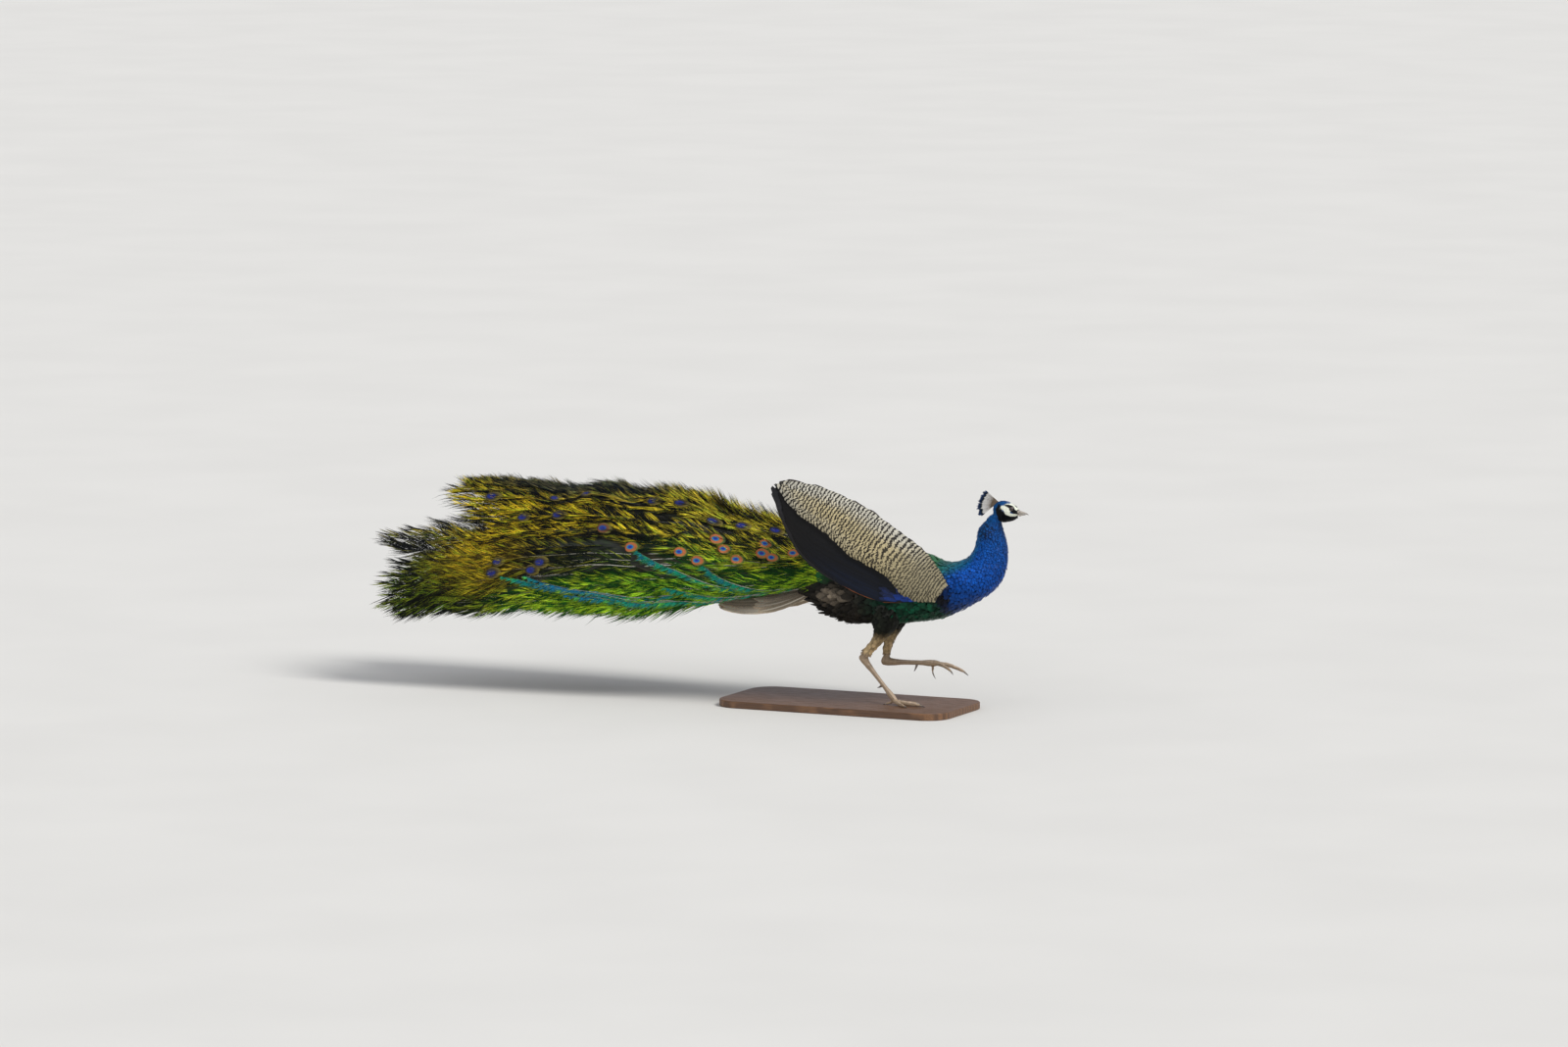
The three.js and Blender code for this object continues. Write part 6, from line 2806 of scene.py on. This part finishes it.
        combed = Strands(
            spine=points,
            normal=self.arch.outward(angle),
            width=half * (0.7, 1.0, 0.8, 0.0),
            depth=half * (0.4, 0.5, 0.4, 0.0),
            tint=self._barb_tints(flock.kind, barbs),
            root=self._bake_places(barbs.x, barbs.angle),
            lot=rng.random(total),
        )
        above = points[..., 2] + ragged * 3 * MM > self._floor_at(points[..., 0])
        return combed.chosen(above.all(1))

    def _floor_at(self, x: Array) -> Array:
        """The height that the train keeps above, so that the tail shows."""
        places, heights = np.array(self.tail_line).T
        return np.where(x < places[0], 0.0, np.interp(x, places, heights))

    def _barb_tints(self, kind: PlumeKind, barbs: Barbs) -> Array:
        """Colours along the barbs.

        Args:
            kind: Their feathers' kind.
            barbs: The barbs.

        Returns:
            Red, green, blue and marking, for each barb and station.
        """
        place, turn, cling = barbs.place, np.abs(barbs.angle), barbs.cling[:, 0]
        rng, total, along = self.rng, len(place), np.array(self.stations)
        weights = np.full(total, 0.35)
        tones = weights[:, None] * [*paint(self.plain[0]), *paint(self.plain[1]), self.plain_share]
        for zone in self.zones:
            weight = zone.weight(place, turn) * 1.6
            tones += weight[:, None] * [*paint(zone.deep), *paint(zone.bright), zone.bright_share]
            weights = weights + weight
        tones /= weights[:, None]
        # Whole clumps take the deep or the bright tone, so the deep clumps also paint the shade between
        # tufts.
        streak = cling + rng.normal(0, 0.13, total)
        bright = ease(0.08, -0.08, streak - tones[:, 6])
        root, tip = tones[:, :3], blend(tones[:, :3], tones[:, 3:6], bright)
        greener = rng.random((total, 1)) < 0.3
        tip = np.where(greener, tip * (0.62, 0.95, 0.9), tip)
        if kind is PlumeKind.FISHTAIL:
            teal = ease(0.35, 0.5, place) * ease(0.64, 0.56, place)
            bluer = np.maximum(teal * 0.8, ease(0.5, 0.9, cling) * 0.5)
            tip = blend(paint(0x0A9272), paint(0x0868A0), bluer)
            root = tip * 0.6
            tip = blend(tip, paint(0x5DB53A), ease(0.2, 0.08, cling) * 0.8)
        if kind is PlumeKind.EYED:
            near = ease(0.16, 0.03, barbs.order) * 0.7
            tip, root = blend(tip, paint(0x8C7A22), near), blend(root, paint(0x5A3A1A), near)
        shade = blend(root[:, None], tip[:, None], ease(0.0, 0.4, along) * np.ones((total, 1)))
        if kind is PlumeKind.FISHTAIL:
            shade = blend(shade, paint(0x8CBF2C), ease(0.6, 1.0, along) * np.ones((total, 1)))
        return marked(shade * np.exp(rng.normal(0, 0.2, (total, 1, 1))))

    def _eye_discs(self, flock: Plumes) -> None:
        """The eye at the end of each eyed feather.

        Args:
            flock: The eyed feathers.
        """
        half_long, half_wide = self.disc
        ways = np.linspace(-1, 1, 9)
        count = len(flock.lot)
        number = np.arange(count)
        place = self._share(flock.end)
        size = (self.rng.uniform(0.85, 1.1, count) * (0.9 + 0.15 * place))[:, None]
        x, angle = flock.at(number, np.ones((count, 1)))
        _, before = flock.at(number, np.full((count, 1), 0.97))
        slope = (angle - before) / ((flock.start - flock.end)[:, None] * 0.03)
        reach = ways * half_long * size
        x, angle = x - reach, angle + slope * reach
        off = (4.6 + 1.5 * ways + self.rng.uniform(0, 1.5, (count, 1))) * MM
        chord = np.sqrt(np.clip(1 - ways**2, 0, 1)) * half_wide * size
        grid = math.ceil(math.sqrt(count))
        tint = np.ones((count, len(ways), 4))
        tint[..., 0] = (ease(24, 34, np.abs(flock.angles[:, 2])) * ease(0.5, 0.35, place))[:, None]
        discs = Strands(
            spine=self.arch.place(x, angle, off),
            normal=self.arch.normal(x, angle),
            width=chord,
            depth=np.full_like(chord, 0.35 * MM),
            tint=tint,
            root=(np.stack([number % grid, number // grid], 1) + 0.5) / grid,
            lot=flock.lot,
        )
        piece = Piece("train_eyes", StrandShape(len(ways), 8), patch=0.8 / grid)
        piece.build([discs], OcellusFinish().material(), "train_plumage")


# ---- The room ----


@dataclass
class Studio:
    """A pale floor, soft lights and the camera."""

    azimuth: float = 25.0
    elevation: float = 7.0
    distance: float = 22.2
    lens: float = 200.0
    aim: tuple[float, float, float] = (-0.152, -0.070, 0.472)
    lamp_distance: float = 8.0
    floor_size: float = 90.0
    floor_colour: Colour = paint(0xD9D6CF)

    def build(self) -> None:
        """Makes floor, lights, world and camera."""
        self._floor()
        self._world()
        self._light("key", 70.0, 44.0, 2.6, 24.0)
        self._light("fill", -30.0, 35.0, 0.5, 60.0)
        self._camera()

    def _aimed(
        self, name: str, data: bpy.types.ID, azimuth: float, elevation: float, distance: float
    ) -> Object:
        """A light or camera that looks at the middle of the view from these angles.

        Args:
            name: The object's name.
            data: A light or camera.
            azimuth: Degrees round the view.
            elevation: Degrees above the floor.
            distance: Metres away.

        Returns:
            The object.
        """
        turn, rise = math.radians(azimuth), math.radians(elevation)
        level = math.cos(rise)
        towards = Vector((math.sin(turn) * level, -math.cos(turn) * level, math.sin(rise)))
        made = in_scene(name, data)
        made.location = Vector(self.aim) + towards * distance
        made.rotation_euler = (-towards).to_track_quat("-Z", "Y").to_euler()
        return made

    def _floor(self) -> None:
        """A wide pale floor."""
        shape = bmesh.new()
        bmesh.ops.create_grid(shape, x_segments=1, y_segments=1, size=self.floor_size)
        mesh = mesh_of("floor", shape)
        recipe = Recipe("floor")
        tone = recipe.noise(0.6).step(0.2, 0.8)
        shade = recipe.mix(tone, self.floor_colour, tuple(0.96 * part for part in self.floor_colour))
        mesh.materials.append(recipe.finish(Base_Color=shade, Roughness=0.9))
        floor = in_scene("floor", mesh)

    def _world(self) -> None:
        """Even light from all round."""
        world = bpy.data.worlds.new("studio")
        world.use_nodes = True
        background = world.node_tree.nodes["Background"]
        background.inputs["Color"].default_value = (0.86, 0.9, 1.0, 1.0)
        background.inputs["Strength"].default_value = 0.55
        bpy.context.scene.world = world
        bpy.context.scene.view_settings.view_transform = "Standard"

    def _light(self, name: str, azimuth: float, elevation: float, power: float, spread: float) -> None:
        """A far light whose shadows are as soft as its spread in degrees makes them.

        Args:
            name: The light's name.
            azimuth: Degrees round the view.
            elevation: Degrees above the floor.
            power: Its strength.
            spread: Its width in degrees.
        """
        lamp = bpy.data.lights.new(name, "SUN")
        lamp.energy = power
        lamp.angle = math.radians(spread)
        self._aimed(name, lamp, azimuth, elevation, self.lamp_distance)

    def _camera(self) -> None:
        """The camera, aimed at the middle of the view."""
        camera = bpy.data.cameras.new("camera")
        camera.lens = self.lens
        camera.sensor_width = 36.0
        camera.clip_end = 200.0
        made = self._aimed("camera", camera, self.azimuth, self.elevation, self.distance)
        bpy.context.scene.camera = made


# ---- The whole bird ----


def main() -> None:
    """Builds the bird and the room round it."""
    logging.basicConfig(level=logging.INFO, format="%(message)s")
    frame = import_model()
    rng = np.random.default_rng(7)
    solids = Solids(frame["nodes"])
    line = BodyLine(solids)
    markings = Markings(solids, line)
    skin = Skin(solids, markings)
    skin.build()
    Coat(skin, line, markings, rng).build()
    for side in Side:
        Wing(solids, side, rng).build()
    Train(solids, rng).build()
    Tail(solids, rng).build()
    Head(solids, rng).build()
    Feet(solids, rng).build()
    stain_base(frame["nodes"]["stand_base"])
    Studio().build()


if __name__ == "__main__":
    main()
